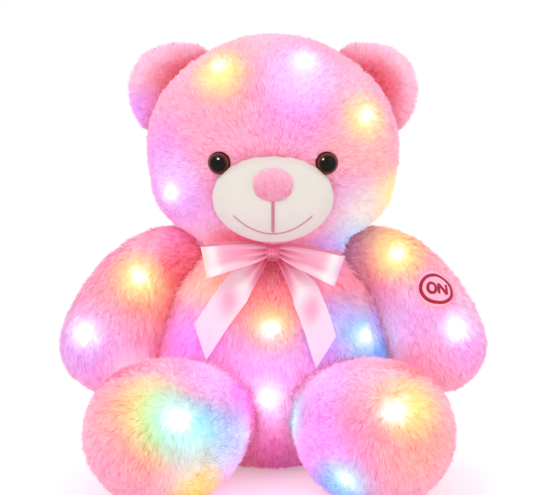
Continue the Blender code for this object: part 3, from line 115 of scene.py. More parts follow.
def sight(x, y):
    """The line of sight through a place in the image, in its pixels."""
    ahead = Vector(((x - CENTRE_PIXEL[0]) / FOCAL_PIXELS, -(y - CENTRE_PIXEL[1]) / FOCAL_PIXELS, -1.0))
    turn = camera.rotation_euler.to_matrix()
    return camera.location.copy(), (turn @ ahead).normalized()


def on_surface(tree, x, y):
    """The place on a surface that is seen at a place in the image."""
    start, way = sight(x, y)
    hit = tree.ray_cast(start, way)[0]
    return tree.find_nearest(start + way * CAMERA_DISTANCE)[0] if hit is None else hit


def make_active(piece):
    bpy.ops.object.select_all(action="DESELECT")
    piece.select_set(True)
    bpy.context.view_layer.objects.active = piece


def apply_modifiers(piece):
    make_active(piece)
    for step in list(piece.modifiers):
        bpy.ops.object.modifier_apply(modifier=step.name)


def new_piece(name, mesh):
    """A piece of a mesh, put in the scene."""
    piece = bpy.data.objects.new(name, mesh)
    bpy.context.scene.collection.objects.link(piece)
    return piece


def smoothed(piece, rounds):
    """Draws the points of a piece half way to the middle of their neighbours, some rounds."""
    smooth = piece.modifiers.new("smooth", "SMOOTH")
    smooth.factor = 0.5
    smooth.iterations = rounds
    apply_modifiers(piece)


def worked(piece, smooth_angle, *steps):
    """Does some (step, values) to the whole mesh of a piece, then shades it smooth up to an angle."""
    make_active(piece)
    bpy.ops.object.mode_set(mode="EDIT")
    for step, values in steps:
        bpy.ops.mesh.select_all(action="SELECT")
        step(**values)
    bpy.ops.object.mode_set(mode="OBJECT")
    bpy.ops.object.shade_smooth_by_angle(angle=math.radians(smooth_angle))
    return piece


def object_from(bm, name):
    mesh = bpy.data.meshes.new(name)
    bm.to_mesh(mesh)
    bm.free()
    return new_piece(name, mesh)


def largest_island(bm):
    """Keeps the one connected piece with the biggest box."""
    left, best, best_size = set(bm.verts), [], -1.0
    while left:
        seed = left.pop()
        island, front = [seed], [seed]
        while front:
            for edge in front.pop().link_edges:
                for vert in edge.verts:
                    if vert in left:
                        left.remove(vert)
                        island.append(vert)
                        front.append(vert)
        spots = np.array([v.co for v in island])
        size = float(np.prod(spots.max(0) - spots.min(0)))
        if size > best_size:
            best, best_size = island, size
    kept = set(best)
    bmesh.ops.delete(bm, geom=[v for v in bm.verts if v not in kept], context="VERTS")


def soft_form(name, sources, inset, voxel=VOXEL, rounds=14, joins=(), grip=0.0015):
    """A smooth closed form over some soft solids, drawn in by an inset, but grown into what it joins."""
    bm = bmesh.new()
    for source in sources:
        bm.from_mesh(nodes[source].data)
    bmesh.ops.remove_doubles(bm, verts=bm.verts, dist=0.00001)
    piece = object_from(bm, name)
    remesh = piece.modifiers.new("remesh", "REMESH")
    remesh.mode = "VOXEL"
    remesh.voxel_size = voxel
    apply_modifiers(piece)
    bm = bmesh.new()
    bm.from_mesh(piece.data)
    largest_island(bm)
    bm.to_mesh(piece.data)
    bm.free()
    smoothed(piece, rounds)
    places, normals, _ = mesh_arrays(piece)
    moves = -normals * inset
    for joined in joins:
        tree = tree_of(nodes[joined])
        for i, place in enumerate(places):
            spot, outwards, _, distance = tree.find_nearest(place, JOIN_REACH)
            if spot is None:
                continue
            outwards = np.array(outwards)
            hold = clipped((0.0065 - distance) / 0.0045)
            faced = clipped(-(normals[i] @ outwards) * 1.6 - 0.3)
            moves[i] = -normals[i] * inset * (1.0 - faced * hold) - outwards * (PILE_INSET + grip) * hold
    piece.data.vertices.foreach_set("co", (places + moves).astype(np.float32).ravel())
    smoothed(piece, SETTLE_ROUNDS)
    make_active(piece)
    bpy.ops.object.shade_smooth()
    return piece


def round_sole(piece, sole, depth=0.012, rise=0.0040):
    """Turns the flat sole and its edge into one soft dome; gives its centre and the way it faces."""
    spots = np.array([v.co for v in nodes[sole].data.vertices])
    centre = spots.mean(axis=0)
    axis = np.linalg.svd(spots - centre, full_matrices=False)[2][2]
    axis = axis * (-1.0 if axis[1] > 0 else 1.0)
    heights = (spots - centre) @ axis
    front = heights.max() - PILE_INSET
    radius = np.linalg.norm(spots - centre - heights[:, None] * axis, axis=1).max() - PILE_INSET
    places, _, _ = mesh_arrays(piece)
    apart = places - centre
    ahead = apart @ axis - front
    flat = apart - (ahead + front)[:, None] * axis
    out = np.linalg.norm(flat, axis=1)
    near = (ahead > -depth) & (out < radius * 1.5)
    first = unit(np.cross(axis, np.array([1.0, 0.0, 0.0])))
    around = np.arctan2(flat @ np.cross(axis, first), flat @ first)
    turns = (around + math.pi) / (2 * math.pi) * SOLE_SECTORS
    sector = turns.astype(int) % SOLE_SECTORS
    outline = np.array([out[near & (sector == k)].max() for k in range(SOLE_SECTORS)])
    wrapped = np.concatenate([outline[-1:], outline, outline[:1]])
    rim = np.interp(turns - 0.5, np.arange(-1, SOLE_SECTORS + 1), wrapped)
    run = (np.clip(ahead, -depth, 0.0) + depth + np.clip(rim - out, 0.0, rim)) / (depth + rim)
    turn = np.clip(run, 0.0, 1.0) * math.pi / 2
    target_out = rim * 0.985 * np.cos(turn) ** 0.9
    target_ahead = -depth + (depth + rise) * np.sin(turn)
    share = np.clip((ahead + depth) / 0.004, 0.0, 1.0)
    new_out = out * (1 - share) + target_out * share
    new_ahead = ahead * (1 - share) + target_ahead * share
    outwards = flat / np.maximum(out, 1e-6)[:, None] * new_out[:, None]
    moved = centre + outwards + (new_ahead + front)[:, None] * axis
    places[near] = moved[near]
    places[:, 2] = np.maximum(places[:, 2], FLOOR_GAP)
    piece.data.vertices.foreach_set("co", places.astype(np.float32).ravel())
    smoothed(piece, SOLE_ROUNDS)
    return centre, axis


def fill_cheeks(piece, out=0.0095, middle=0.1985, spread=0.026):
    """Fills the head's lower cheeks out sideways, where the filling sags."""
    for vertex in piece.data.vertices:
        x, _, z = vertex.co
        share = math.exp(-(((z - middle) / spread) ** 2)) * min(1.0, abs(x) / 0.085) ** 2.5
        vertex.co.x += math.copysign(out * share, x)
    piece.data.update()


def hang_ear(piece, drop=0.0016, stretch=0.0054, root=0.0085, lift=0.0045):
    """Lets an ear hang a little, its lower end most, and spreads its root along the head."""
    for vertex in piece.data.vertices:
        inner = clipped((0.088 - abs(vertex.co.x)) / 0.028)
        vertex.co.x -= math.copysign(root * inner, vertex.co.x)
        vertex.co.z += lift * inner * clipped((vertex.co.z - 0.305) / 0.02)
        vertex.co.z -= drop + stretch * clipped((0.300 - vertex.co.z) / 0.028)
    piece.data.update()


def lay_round_zip(piece, tape):
    """Lays the body's skin flat round the zip: under it in a narrow opening, over the edges of its tapes."""
    low, high = (np.array(v) for v in tape)
    opening, length_end, cover, reach = 0.0058, 0.0045, 0.0011, 0.008
    for vertex in piece.data.vertices:
        x, y, z = vertex.co
        outside = max(abs(x) - high[0], low[2] - z, z - high[2])
        if y < 0.05 or outside > reach:
            continue
        open_here = abs(x) < opening and low[2] + length_end < z < high[2] - length_end
        wanted = low[1] - 0.0012 if open_here else high[1] + cover
        vertex.co.y += (wanted - y) * clipped(1.0 - outside / reach)
    piece.data.update()


def press_in(piece, middle, out, depth=0.0062, reach=0.0270, flat=0.55):
    """Presses a round place of a skin in, so that the piece sewn there stands on it."""
    for vertex in piece.data.vertices:
        apart = np.array(vertex.co) - middle
        height = apart @ out
        across = np.linalg.norm(apart - height * out) / reach
        if height > -0.020 and across < 1.0:
            near = clipped((1.0 - across) / (1.0 - flat))
            vertex.co -= Vector(out) * depth * near * near * (3.0 - 2.0 * near)
    piece.data.update()


def numbers(count, kind, read, field, width=3):
    """Some values of a mesh read into rows of an array."""
    values = np.empty(count * width, kind)
    read(field, values)
    return values.reshape(-1, width)


def mesh_arrays(piece):
    """Places, normals and triangles of a mesh as arrays."""
    mesh = piece.data
    mesh.calc_loop_triangles()
    places = numbers(len(mesh.vertices), np.float32, mesh.vertices.foreach_get, "co")
    normals = numbers(len(mesh.vertices), np.float32, mesh.vertex_normals.foreach_get, "vector")
    triangles = numbers(len(mesh.loop_triangles), np.int32, mesh.loop_triangles.foreach_get, "vertices")
    return places.astype(float), normals.astype(float), triangles


def tree_of(piece):
    places, _, triangles = mesh_arrays(piece)
    return BVHTree.FromPolygons([tuple(p) for p in places], [tuple(t) for t in triangles])


def unit(vectors):
    return vectors / np.maximum(np.linalg.norm(vectors, axis=-1, keepdims=True), 1e-9)


def set_attribute(mesh, name, values):
    """Values at a mesh's points for its material: one number or three at each."""
    kind, field = ("FLOAT_VECTOR", "vector") if np.ndim(values) == 2 else ("FLOAT", "value")
    made = mesh.attributes.new(name, kind, "POINT")
    made.data.foreach_set(field, np.ascontiguousarray(values, np.float32).ravel())


# Colours of the plush by daylight, and the colours of the painted light and shade laid over it
PINK = srgb(250, 182, 210)
# The fold colours are painted shade, laid into creases between parts where shade falls
CREASE_SHADE_PINK = srgb(242, 112, 160)
CREASE_SHADE_RED = srgb(244, 52, 70)
CREASE_SHADE_WINE = srgb(196, 112, 140)
CREASE_SHADE_MAGENTA = srgb(250, 104, 196)
PALE_PINK = srgb(252, 206, 230)
# painted shade in the hollow of the ear by the head
EAR_HOLLOW_SHADE = srgb(245, 98, 132)
WHITE = srgb(255, 253, 255)
YELLOW = srgb(255, 240, 150)
AMBER = srgb(255, 196, 150)
VIOLET = srgb(238, 160, 255)
MAGENTA = srgb(248, 110, 240)
HOT_PINK = srgb(248, 80, 190)
CORAL = srgb(252, 120, 130)
RED = srgb(248, 50, 80)
BLUE = srgb(120, 190, 255)
PALE_BLUE = srgb(180, 212, 255)
LAVENDER = srgb(214, 182, 255)
BLUSH = srgb(255, 150, 170)
PEACH = srgb(255, 186, 142)
ORCHID = srgb(250, 160, 250)
MINT = srgb(200, 248, 250)
PALE_YELLOW = srgb(255, 232, 190)
PALE_LILAC = srgb(240, 214, 252)
SHELL = srgb(253, 214, 228)
BERRY = srgb(206, 52, 84)
SPRING = srgb(226, 250, 140)
AQUA = srgb(164, 246, 246)
PLUM = srgb(196, 62, 170)
ROSE = srgb(244, 84, 112)
FROST = srgb(228, 240, 255)
PALEST_PINK = srgb(255, 236, 246)
ICE = srgb(198, 232, 255)
PALE_ORCHID = srgb(252, 196, 252)
IVORY = srgb(238, 232, 222)

# Painted light and shade on each skin: pools of coloured light from the lamps within, painted shadows and
# lighter places; each is an image place, reach in metres, colour, strength, and glow at the middle
PAINTED_LIGHT_AND_SHADE = {
    "head": [
        (205, 60, 0.040, SHELL, 0.45), (240, 78, 0.044, PEACH, 0.60), (280, 52, 0.034, ORCHID, 0.35),
        (268, 52, 0.036, SHELL, 0.60), (222, 78, 0.027, YELLOW, 0.95, 0.12),
        (221, 71, 0.012, WHITE, 0.85, 0.25), (300, 98, 0.052, ORCHID, 0.75),
        (300, 82, 0.036, PALE_LILAC, 0.90, 0.08), (303, 66, 0.020, WHITE, 1.0, 0.30),
        (345, 92, 0.030, SHELL, 0.55), (352, 138, 0.040, PEACH, 0.45), (360, 146, 0.034, SHELL, 0.45),
        (361, 120, 0.025, YELLOW, 0.85, 0.15), (362, 118, 0.013, WHITE, 1.0, 0.35),
        (165, 145, 0.034, ORCHID, 0.55), (165, 178, 0.040, VIOLET, 0.60), (190, 212, 0.044, VIOLET, 0.65),
        (178, 181, 0.030, PALE_LILAC, 0.80, 0.05), (176, 191, 0.016, WHITE, 1.0, 0.36),
        (210, 235, 0.034, SHELL, 0.55), (238, 246, 0.030, ROSE, 0.95), (376, 165, 0.036, PEACH, 0.30),
        (350, 205, 0.036, LAVENDER, 0.45), (384, 200, 0.036, PALE_YELLOW, 0.85, 0.05),
        (386, 196, 0.026, YELLOW, 0.90, 0.05), (358, 214, 0.036, IVORY, 0.90, 0.08),
        (344, 236, 0.030, ICE, 1.0, 0.12), (322, 247, 0.024, LAVENDER, 0.8),
    ],
    "ear_left": [
        (150, 90, 0.040, SHELL, 0.35), (182, 76, 0.018, ROSE, 0.45),
        (143, 120, 0.034, VIOLET, 0.90, 0.08),
    ],
    "ear_right": [
        (400, 56, 0.024, SHELL, 0.6), (406, 112, 0.026, BLUSH, 0.25), (373, 87, 0.026, ROSE, 0.95),
    ],
    "arm_left": [
        (183, 243, 0.024, MAGENTA, 0.45), (204, 238, 0.028, BLUSH, 0.50), (158, 253, 0.030, SHELL, 0.55),
        (178, 285, 0.040, CORAL, 0.55), (180, 270, 0.026, RED, 0.60), (140, 300, 0.044, PEACH, 0.60),
        (162, 292, 0.024, AMBER, 0.55), (140, 275, 0.026, YELLOW, 0.95, 0.15),
        (141, 273, 0.013, WHITE, 1.0, 0.35), (112, 345, 0.044, ORCHID, 0.50),
        (84, 335, 0.044, PALE_LILAC, 0.75), (80, 350, 0.028, VIOLET, 0.40),
        (88, 329, 0.021, WHITE, 1.0, 0.35), (140, 342, 0.030, SHELL, 0.30),
        (120, 382, 0.030, BLUSH, 0.30), (132, 371, 0.028, PALEST_PINK, 0.95, 0.12),
        (98, 376, 0.024, ORCHID, 0.25),
    ],
    "arm_right": [
        (362, 240, 0.030, CREASE_SHADE_WINE, 0.55), (372, 268, 0.030, BLUSH, 0.45),
        (438, 270, 0.042, SHELL, 0.65), (468, 305, 0.034, SHELL, 0.55), (400, 246, 0.042, PEACH, 0.60),
        (380, 240, 0.024, PALE_YELLOW, 0.70), (394, 255, 0.026, YELLOW, 0.95, 0.15),
        (394, 253, 0.013, WHITE, 1.0, 0.35), (396, 308, 0.036, PALE_LILAC, 0.65),
        (385, 290, 0.022, CREASE_SHADE_MAGENTA, 0.20), (394, 332, 0.028, FROST, 0.55, 0.05),
        (422, 322, 0.034, ORCHID, 0.35), (456, 328, 0.040, PALE_LILAC, 0.70),
        (464, 348, 0.026, ORCHID, 0.50), (454, 325, 0.021, WHITE, 1.0, 0.35),
        (425, 372, 0.036, BLUSH, 0.20),
    ],
    "body": [
        (271, 276, 0.038, CREASE_SHADE_RED, 0.55), (271, 263, 0.022, BERRY, 0.75), (271, 300, 0.034, CORAL, 0.35),
        (272, 346, 0.034, SHELL, 0.45), (271, 322, 0.034, PEACH, 0.85, 0.05),
        (271, 324, 0.022, YELLOW, 0.9, 0.14), (271, 325, 0.015, WHITE, 1.0, 0.35),
        (228, 360, 0.040, MAGENTA, 0.40), (308, 366, 0.040, MAGENTA, 0.35),
        (268, 392, 0.066, PALE_ORCHID, 0.90, 0.10), (240, 380, 0.036, PALE_ORCHID, 0.55, 0.10),
        (300, 386, 0.036, ORCHID, 0.75, 0.10), (267, 393, 0.027, WHITE, 1.0, 0.35),
        (272, 450, 0.033, HOT_PINK, 0.70, 0.05), (253, 462, 0.032, BERRY, 0.50),
        (288, 460, 0.030, PLUM, 0.55), (206, 282, 0.036, PALE_YELLOW, 0.60, 0.05),
        (225, 292, 0.026, PEACH, 0.55), (202, 308, 0.026, SHELL, 0.45),
        (192, 335, 0.036, ORCHID, 0.90, 0.05), (190, 352, 0.026, ORCHID, 0.60),
        (345, 296, 0.034, BLUSH, 0.50), (328, 322, 0.030, VIOLET, 0.70),
        (348, 335, 0.044, PALE_BLUE, 0.90, 0.08), (376, 342, 0.036, BLUE, 0.95, 0.05),
        (362, 332, 0.019, MINT, 0.9, 0.12), (361, 333, 0.015, WHITE, 0.9, 0.30),
        (384, 316, 0.022, VIOLET, 0.6), (330, 356, 0.026, VIOLET, 0.6, 0.05), (353, 350, 0.020, ICE, 0.5),
    ],
    "leg_left": [
        (165, 368, 0.034, SHELL, 0.75, 0.10), (215, 378, 0.045, PALE_LILAC, 0.85, 0.18),
        (243, 402, 0.040, ORCHID, 0.75, 0.20), (240, 432, 0.036, PALE_LILAC, 0.80, 0.20),
        (228, 465, 0.040, PALE_LILAC, 0.65, 0.15), (120, 460, 0.055, BLUSH, 0.20),
        (100, 420, 0.034, PALE_PINK, 0.45), (128, 412, 0.034, PEACH, 0.55),
        (152, 448, 0.030, PEACH, 0.60), (155, 408, 0.032, SPRING, 0.72, 0.10),
        (162, 434, 0.024, SPRING, 0.55, 0.05), (218, 438, 0.036, PALE_BLUE, 0.60, 0.05),
        (198, 434, 0.032, AQUA, 0.90, 0.10), (176, 420, 0.030, AQUA, 0.60, 0.05),
        (236, 438, 0.032, FROST, 0.55), (180, 422, 0.024, MINT, 0.60, 0.03),
        (178, 417, 0.018, WHITE, 1.0, 0.35), (194, 464, 0.036, IVORY, 0.80, 0.05),
        (197, 488, 0.028, YELLOW, 0.80, 0.05),
    ],
    "leg_right": [
        (368, 366, 0.040, SHELL, 0.80, 0.10), (322, 384, 0.045, PALE_LILAC, 0.85, 0.15),
        (310, 452, 0.044, PALE_ORCHID, 0.80, 0.15), (345, 438, 0.050, ORCHID, 0.60),
        (299, 424, 0.038, FROST, 0.92, 0.20), (298, 414, 0.026, MINT, 0.75, 0.20),
        (362, 412, 0.030, BLUSH, 0.35), (385, 385, 0.036, SHELL, 0.55), (418, 394, 0.036, PEACH, 0.45),
        (412, 436, 0.044, PEACH, 0.65), (430, 398, 0.028, SHELL, 0.45),
        (406, 407, 0.026, YELLOW, 0.95, 0.04), (392, 409, 0.017, WHITE, 1.0, 0.35),
        (338, 486, 0.036, PALE_BLUE, 0.85, 0.08), (345, 476, 0.022, MINT, 0.85, 0.12),
        (345, 474, 0.015, WHITE, 0.9, 0.28),
    ],
}


def lit_and_shaded(places, light_and_shade, tree, colours):
    """Base colours and glow at some places, after each wash of painted light and shade is laid over them."""
    glow = np.full(len(places), BASE_GLOW)
    for x, y, reach, colour, strength, *glows in light_and_shade:
        core = glows[0] if glows else 0.0
        centre = np.array(on_surface(tree, x, y))
        way = np.array(sight(x, y)[1])
        apart = places - centre
        depth = apart @ way
        across = np.linalg.norm(apart - depth[:, None] * way, axis=1)
        near = np.clip(1.0 - np.sqrt(across**2 + (depth * 0.45) ** 2) / reach, 0.0, 1.0)
        fall = near * near * (3.0 - 2.0 * near)
        share = (strength * fall ** (0.7 if core < 0.2 else 1.5))[:, None]
        # painted light and shade: each wash's colour is laid into the base colour
        colours = colours * (1.0 - share) + np.array(colour) * share
        glow = np.maximum(glow, BASE_GLOW + core * (fall if core < 0.2 else 0.8 * fall**2))
    return colours, glow


def is_inside(tree, place):
    """Whether a place is inside a closed form: rays both ways must cross it an odd number of times."""
    for way in (Vector((0.31, 0.23, 0.92)).normalized(), Vector((-0.52, 0.43, -0.74)).normalized()):
        start, crossings = Vector(place), 0
        while crossings < 12:
            hit, _, _, _ = tree.ray_cast(start, way)
            if hit is None:
                break
            crossings += 1
            start = hit + way * 0.00002
        if crossings % 2 == 0:
            return False
    return True


def skin_values(piece, neighbours, pressing):
    """For each point of a skin: whether fur grows, how deep it lies in a crease, how free the pile is."""
    places = mesh_arrays(piece)[0]
    grows = np.ones(len(places))
    crease = np.zeros(len(places))
    free = np.ones(len(places))
    for tree, reach in neighbours:
        for i, place in enumerate(places):
            if grows[i] == 0.0:
                continue
            spot, _, _, distance = tree.find_nearest(place, 0.03)
            if spot is None:
                continue
            inside = is_inside(tree, place)
            if inside and distance > 0.0012:
                grows[i] = 0.0
            gap = 0.0 if inside else distance
            crease[i] = max(crease[i], math.exp(-gap / reach))
    for tree, reach in pressing:
        for i, place in enumerate(places):
            spot, _, _, distance = tree.find_nearest(place, reach)
            if spot is not None:
                free[i] = min(free[i], distance / reach)
    return grows, crease, free


def paint_skin(piece, light_and_shade, base, pressing=(), neighbours=(), base_tint=None, fold=None, depth=0.35):
    """Puts colour with painted light and shade, glow, growth and crease on a skin's points, for its material
    and for the fur: the fold colour is painted shade laid into creases.
    """
    places = mesh_arrays(piece)[0]
    grows, crease, free = skin_values(piece, neighbours, pressing)
    tree = tree_of(piece)
    colours = np.repeat(np.array([base]), len(places), axis=0)
    if base_tint is not None:
        colours = base_tint(places)
    colours, glow = lit_and_shaded(places, light_and_shade, tree, colours)
    # painted shade: the fold colour is laid in where the skin lies in a crease by its neighbours
    share = (np.clip(crease, 0, 1) * depth)[:, None]
    colours = colours * (1 - share) + np.array(fold or CREASE_SHADE_PINK) * share
    set_attribute(piece.data, "tint", colours)
    # painted shade: the glow is weaker in creases
    glow = glow * (1 - 0.5 * crease)
    set_attribute(piece.data, "glow", glow)
    return {"piece": piece, "grows": grows, "crease": crease, "free": free, "tint": colours, "glow": glow}


def scatter(skin, density, rng, part=None):
    """Roots of strands over a skin, so many to the square millimetre, with what the skin says at each."""
    places, normals, triangles = mesh_arrays(skin["piece"])
    corner = places[triangles]
    area = 0.5 * np.linalg.norm(np.cross(corner[:, 1] - corner[:, 0], corner[:, 2] - corner[:, 0]), axis=1)
    growth = (skin["grows"][triangles].min(axis=1) > 0.5).astype(float)
    if part is not None:
        growth = growth * np.asarray(part(corner.mean(axis=1)), float)
    count = np.floor(area * 1e6 * density * growth + rng.random(len(area))).astype(int)
    count[growth == 0.0] = 0
    which = np.repeat(np.arange(len(area)), count)
    u, v = rng.random(len(which)), rng.random(len(which))
    flip = u + v > 1.0
    u[flip], v[flip] = 1.0 - u[flip], 1.0 - v[flip]
    weights = np.stack([1.0 - u - v, u, v], axis=1)

    def blend_of(values):
        picked = values[triangles[which]]
        return (picked * (weights if picked.ndim == 2 else weights[:, :, None])).sum(axis=1)

    said = {name: blend_of(skin[name]) for name in ("tint", "glow", "crease", "free")}
    return {"root": blend_of(places), "normal": unit(blend_of(normals)), **said}


def ripple(places, scale, seed):
    """A smooth wandering value from -1 to 1 at each place."""
    rng = np.random.default_rng(seed)
    total = np.zeros(len(places))
    for _ in range(5):
        way = unit(rng.normal(size=3))
        angle = places @ way * (2 * math.pi / scale) * rng.uniform(0.6, 1.5)
        total += np.sin(angle + rng.uniform(0, 2 * math.pi))
    return np.tanh(total / 2.2)


def grow(name, skin, body, length, comb, density, seed, width=STRAND_WIDTH, part=None, lift=(46.0, 17.0),
         clump=CLUMP_SIZE, pull=0.42, stray=0.24, slot="pink_plush", swirl=0.25):
    """Combed fur on a skin: each strand is a pointed blade of two faces that leans over along the comb."""
    rng = np.random.default_rng(seed)
    roots = scatter(skin, density, rng, part)
    root, normal = roots["root"], roots["normal"]
    count = len(root)
    wander = np.stack([ripple(root, clump * 2.3, seed + k) for k in range(3)], axis=1) * clump * 0.45
    cell = np.floor((root + wander) / clump)
    _, group = np.unique(cell.astype(int), axis=0, return_inverse=True)
    group = group.ravel()
    groups = group.max() + 1 if count else 0
    lean = rng.normal(0.0, 1.0, (groups, 3))
    along = comb(root)
    along = along + np.stack([ripple(root, 0.018, seed + 11 + k) for k in range(3)], axis=1) * swirl
    along = along + lean[group] * 0.18 + rng.normal(0.0, stray, (count, 3))
    along = unit(along - (along * normal).sum(1, keepdims=True) * normal)
    side = np.cross(normal, along)
    size = length * (0.74 + 0.30 * rng.random(count)) * (1.0 + 0.09 * lean[group, 0].clip(-1.6, 1.6))
    size = size * (0.30 + 0.70 * np.clip(roots["free"], 0, 1)) * (1.0 - 0.25 * roots["crease"])
    upright = 0.45 + 0.55 * roots["free"]
    first = np.radians(lift[0] + 9 * lean[group, 1] + rng.normal(0, 8, count)) * upright
    second = np.radians(lift[1] + 9 * lean[group, 2] + rng.normal(0, 10, count)) * upright

    def stretch(angle, share):
        way = along * np.cos(angle)[:, None] + normal * np.sin(angle)[:, None]
        return way * (size * share)[:, None]

    base = root - normal * ROOT_DEPTH
    middle = base + stretch(first, 0.52)
    tip = middle + stretch(second, 0.48)
    number = np.maximum(np.bincount(group, minlength=groups), 1)[:, None]
    for points, share in ((middle, 0.25 * pull), (tip, pull)):
        sums = [np.bincount(group, weights=points[:, k], minlength=groups) for k in range(3)]
        gathered = np.stack(sums, axis=1) / number
        points += (gathered[group] - points) * share
    half = side * (width * 0.5 * (0.8 + 0.4 * rng.random(count)))[:, None]
    corners = np.stack([base, middle - half, middle + half, tip], axis=1)
    corners[:, :, 2] = np.maximum(corners[:, :, 2], FUR_FLOOR_GAP)
    faces = (np.arange(count)[:, None] * 4 + np.array([[0, 1, 2, 1, 3, 2]])).reshape(-1, 3)

    mesh = bpy.data.meshes.new(name)
    mesh.vertices.add(count * 4)
    mesh.vertices.foreach_set("co", corners.astype(np.float32).ravel())
    mesh.loops.add(len(faces) * 3)
    mesh.loops.foreach_set("vertex_index", faces.astype(np.int32).ravel())
    mesh.polygons.add(len(faces))
    mesh.polygons.foreach_set("loop_start", np.arange(len(faces), dtype=np.int32) * 3)
    mesh.update(calc_edges=True)
    mesh.polygons.foreach_set("use_smooth", np.ones(len(faces), bool))

    blade = unit(np.cross(tip - base, side))
    shown = unit(normal * 0.80 + blade * 0.20 + along * 0.08)
    mesh.normals_split_custom_set_from_vertices(np.repeat(shown, 4, axis=0))

    tone = rng.random(count) * 0.6 + 0.4 * (lean[group, 0].clip(-1.5, 1.5) / 3 + 0.5)
    # the fur takes its skin's colour and glow, painted light and shade included
    set_attribute(mesh, "tint", np.repeat(roots["tint"], 4, axis=0))
    set_attribute(mesh, "glow", np.repeat(roots["glow"], 4))
    set_attribute(mesh, "tone", np.repeat(tone, 4))
    set_attribute(mesh, "rise", np.tile([0.0, 0.55, 0.55, 1.0], count))

    low, high = root.min(axis=0), root.max(axis=0)
    centre, reach = (low + high) / 2, (high - low) / 2 + 0.001
    turned = (root - centre) / reach
    u = np.arctan2(turned[:, 0], -turned[:, 1]) / (2 * math.pi) + 0.5
    v = (root[:, 2] - low[2]) / (reach[2] * 2)
    spread = 0.0008
    u, v = 0.002 + u * 0.994, 0.002 + v * 0.992
    places = ((u, v), (u - spread, v + spread), (u + spread, v + spread), (u, v + 2 * spread))
    own = np.stack([np.stack(place, 1) for place in places], axis=1).clip(0.0, 1.0)
    layer = mesh.uv_layers.new(name="OFBake")
    layer.data.foreach_set("uv", own.reshape(-1, 2)[faces.ravel()].astype(np.float32).ravel())

    piece = new_piece(name, mesh)
    mesh.materials.append(plush_fur)
    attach(piece, body)
    return piece


def material(name):
    """A new material with its shader, ready for constants and links."""
    made = bpy.data.materials.new(name)
    made.use_nodes = True
    shader = made.node_tree.nodes["Principled BSDF"]
    return made, made.node_tree.nodes, made.node_tree.links, shader


def constants(node, **values):
    """Sets plain values on a node's inputs: names are written with underscores."""
    for name, value in values.items():
        node.inputs[name.replace("_", " ")].default_value = value


def texture(n, l, kind, *laid_by, **values):
    """A texture node in object coordinates, or laid by a socket, with plain values on its inputs."""
    node = n.new("ShaderNodeTex" + kind)
    place = laid_by[0] if laid_by else n.new("ShaderNodeTexCoord").outputs["Object"]
    l.new(place, node.inputs["Vector"])
    constants(node, **values)
    return node


def woven_place(n):
    """The place on a ribbon: across its weave and along it."""
    place = n.new("ShaderNodeUVMap")
    place.uv_map = "weave"
    return place.outputs["UV"]


def relief(n, l, shader, height, distance, strength):
    """Presses a height into the surface of a shader."""
    bump = n.new("ShaderNodeBump")
    constants(bump, Distance=distance, Strength=strength)
    l.new(height, bump.inputs["Height"])
    l.new(bump.outputs["Normal"], shader.inputs["Normal"])


def scaled(n, l, colour, factor):
    """A colour socket made stronger or weaker by a socket or a plain number."""
    node = n.new("ShaderNodeVectorMath")
    node.operation = "SCALE"
    l.new(colour, node.inputs[0])
    if isinstance(factor, float):
        node.inputs["Scale"].default_value = factor
    else:
        l.new(factor, node.inputs["Scale"])
    return node.outputs[0]


def group(name, inputs, outputs):
    """A new shader group: inputs are (name, kind, value), outputs (name, kind)."""
    tree = bpy.data.node_groups.new(name, "ShaderNodeTree")
    for label, kind, value in inputs:
        socket = tree.interface.new_socket(name=label, in_out="INPUT", socket_type=kind)
        socket.default_value = value
    for label, kind in outputs:
        tree.interface.new_socket(name=label, in_out="OUTPUT", socket_type=kind)
    return tree, tree.nodes, tree.links, tree.nodes.new("NodeGroupInput"), tree.nodes.new("NodeGroupOutput")


def use_group(n, tree, **values):
    node = n.new("ShaderNodeGroup")
    node.node_tree = tree
    constants(node, **values)
    return node


def attribute(n, name):
    node = n.new("ShaderNodeAttribute")
    node.attribute_name = name
    return node


def maths(n, l, operation, *values):
    """A maths node whose inputs are sockets or plain numbers; returns its result."""
    node = n.new("ShaderNodeMath")
    node.operation = operation
    for i, value in enumerate(values):
        if isinstance(value, (int, float)):
            node.inputs[i].default_value = value
        else:
            l.new(value, node.inputs[i])
    return node.outputs[0]


def mixed(n, l, share, first, second, how="MIX"):
    """A colour mix whose inputs are sockets or plain colours; returns its result."""
    node = n.new("ShaderNodeMix")
    node.data_type = "RGBA"
    node.blend_type = how
    for i, value in ((0, share), (6, first), (7, second)):
        if isinstance(value, (int, float)):
            node.inputs[i].default_value = value
        elif isinstance(value, tuple):
            node.inputs[i].default_value = (*value[:3], 1.0)
        else:
            l.new(value, node.inputs[i])
    return node.outputs[2]


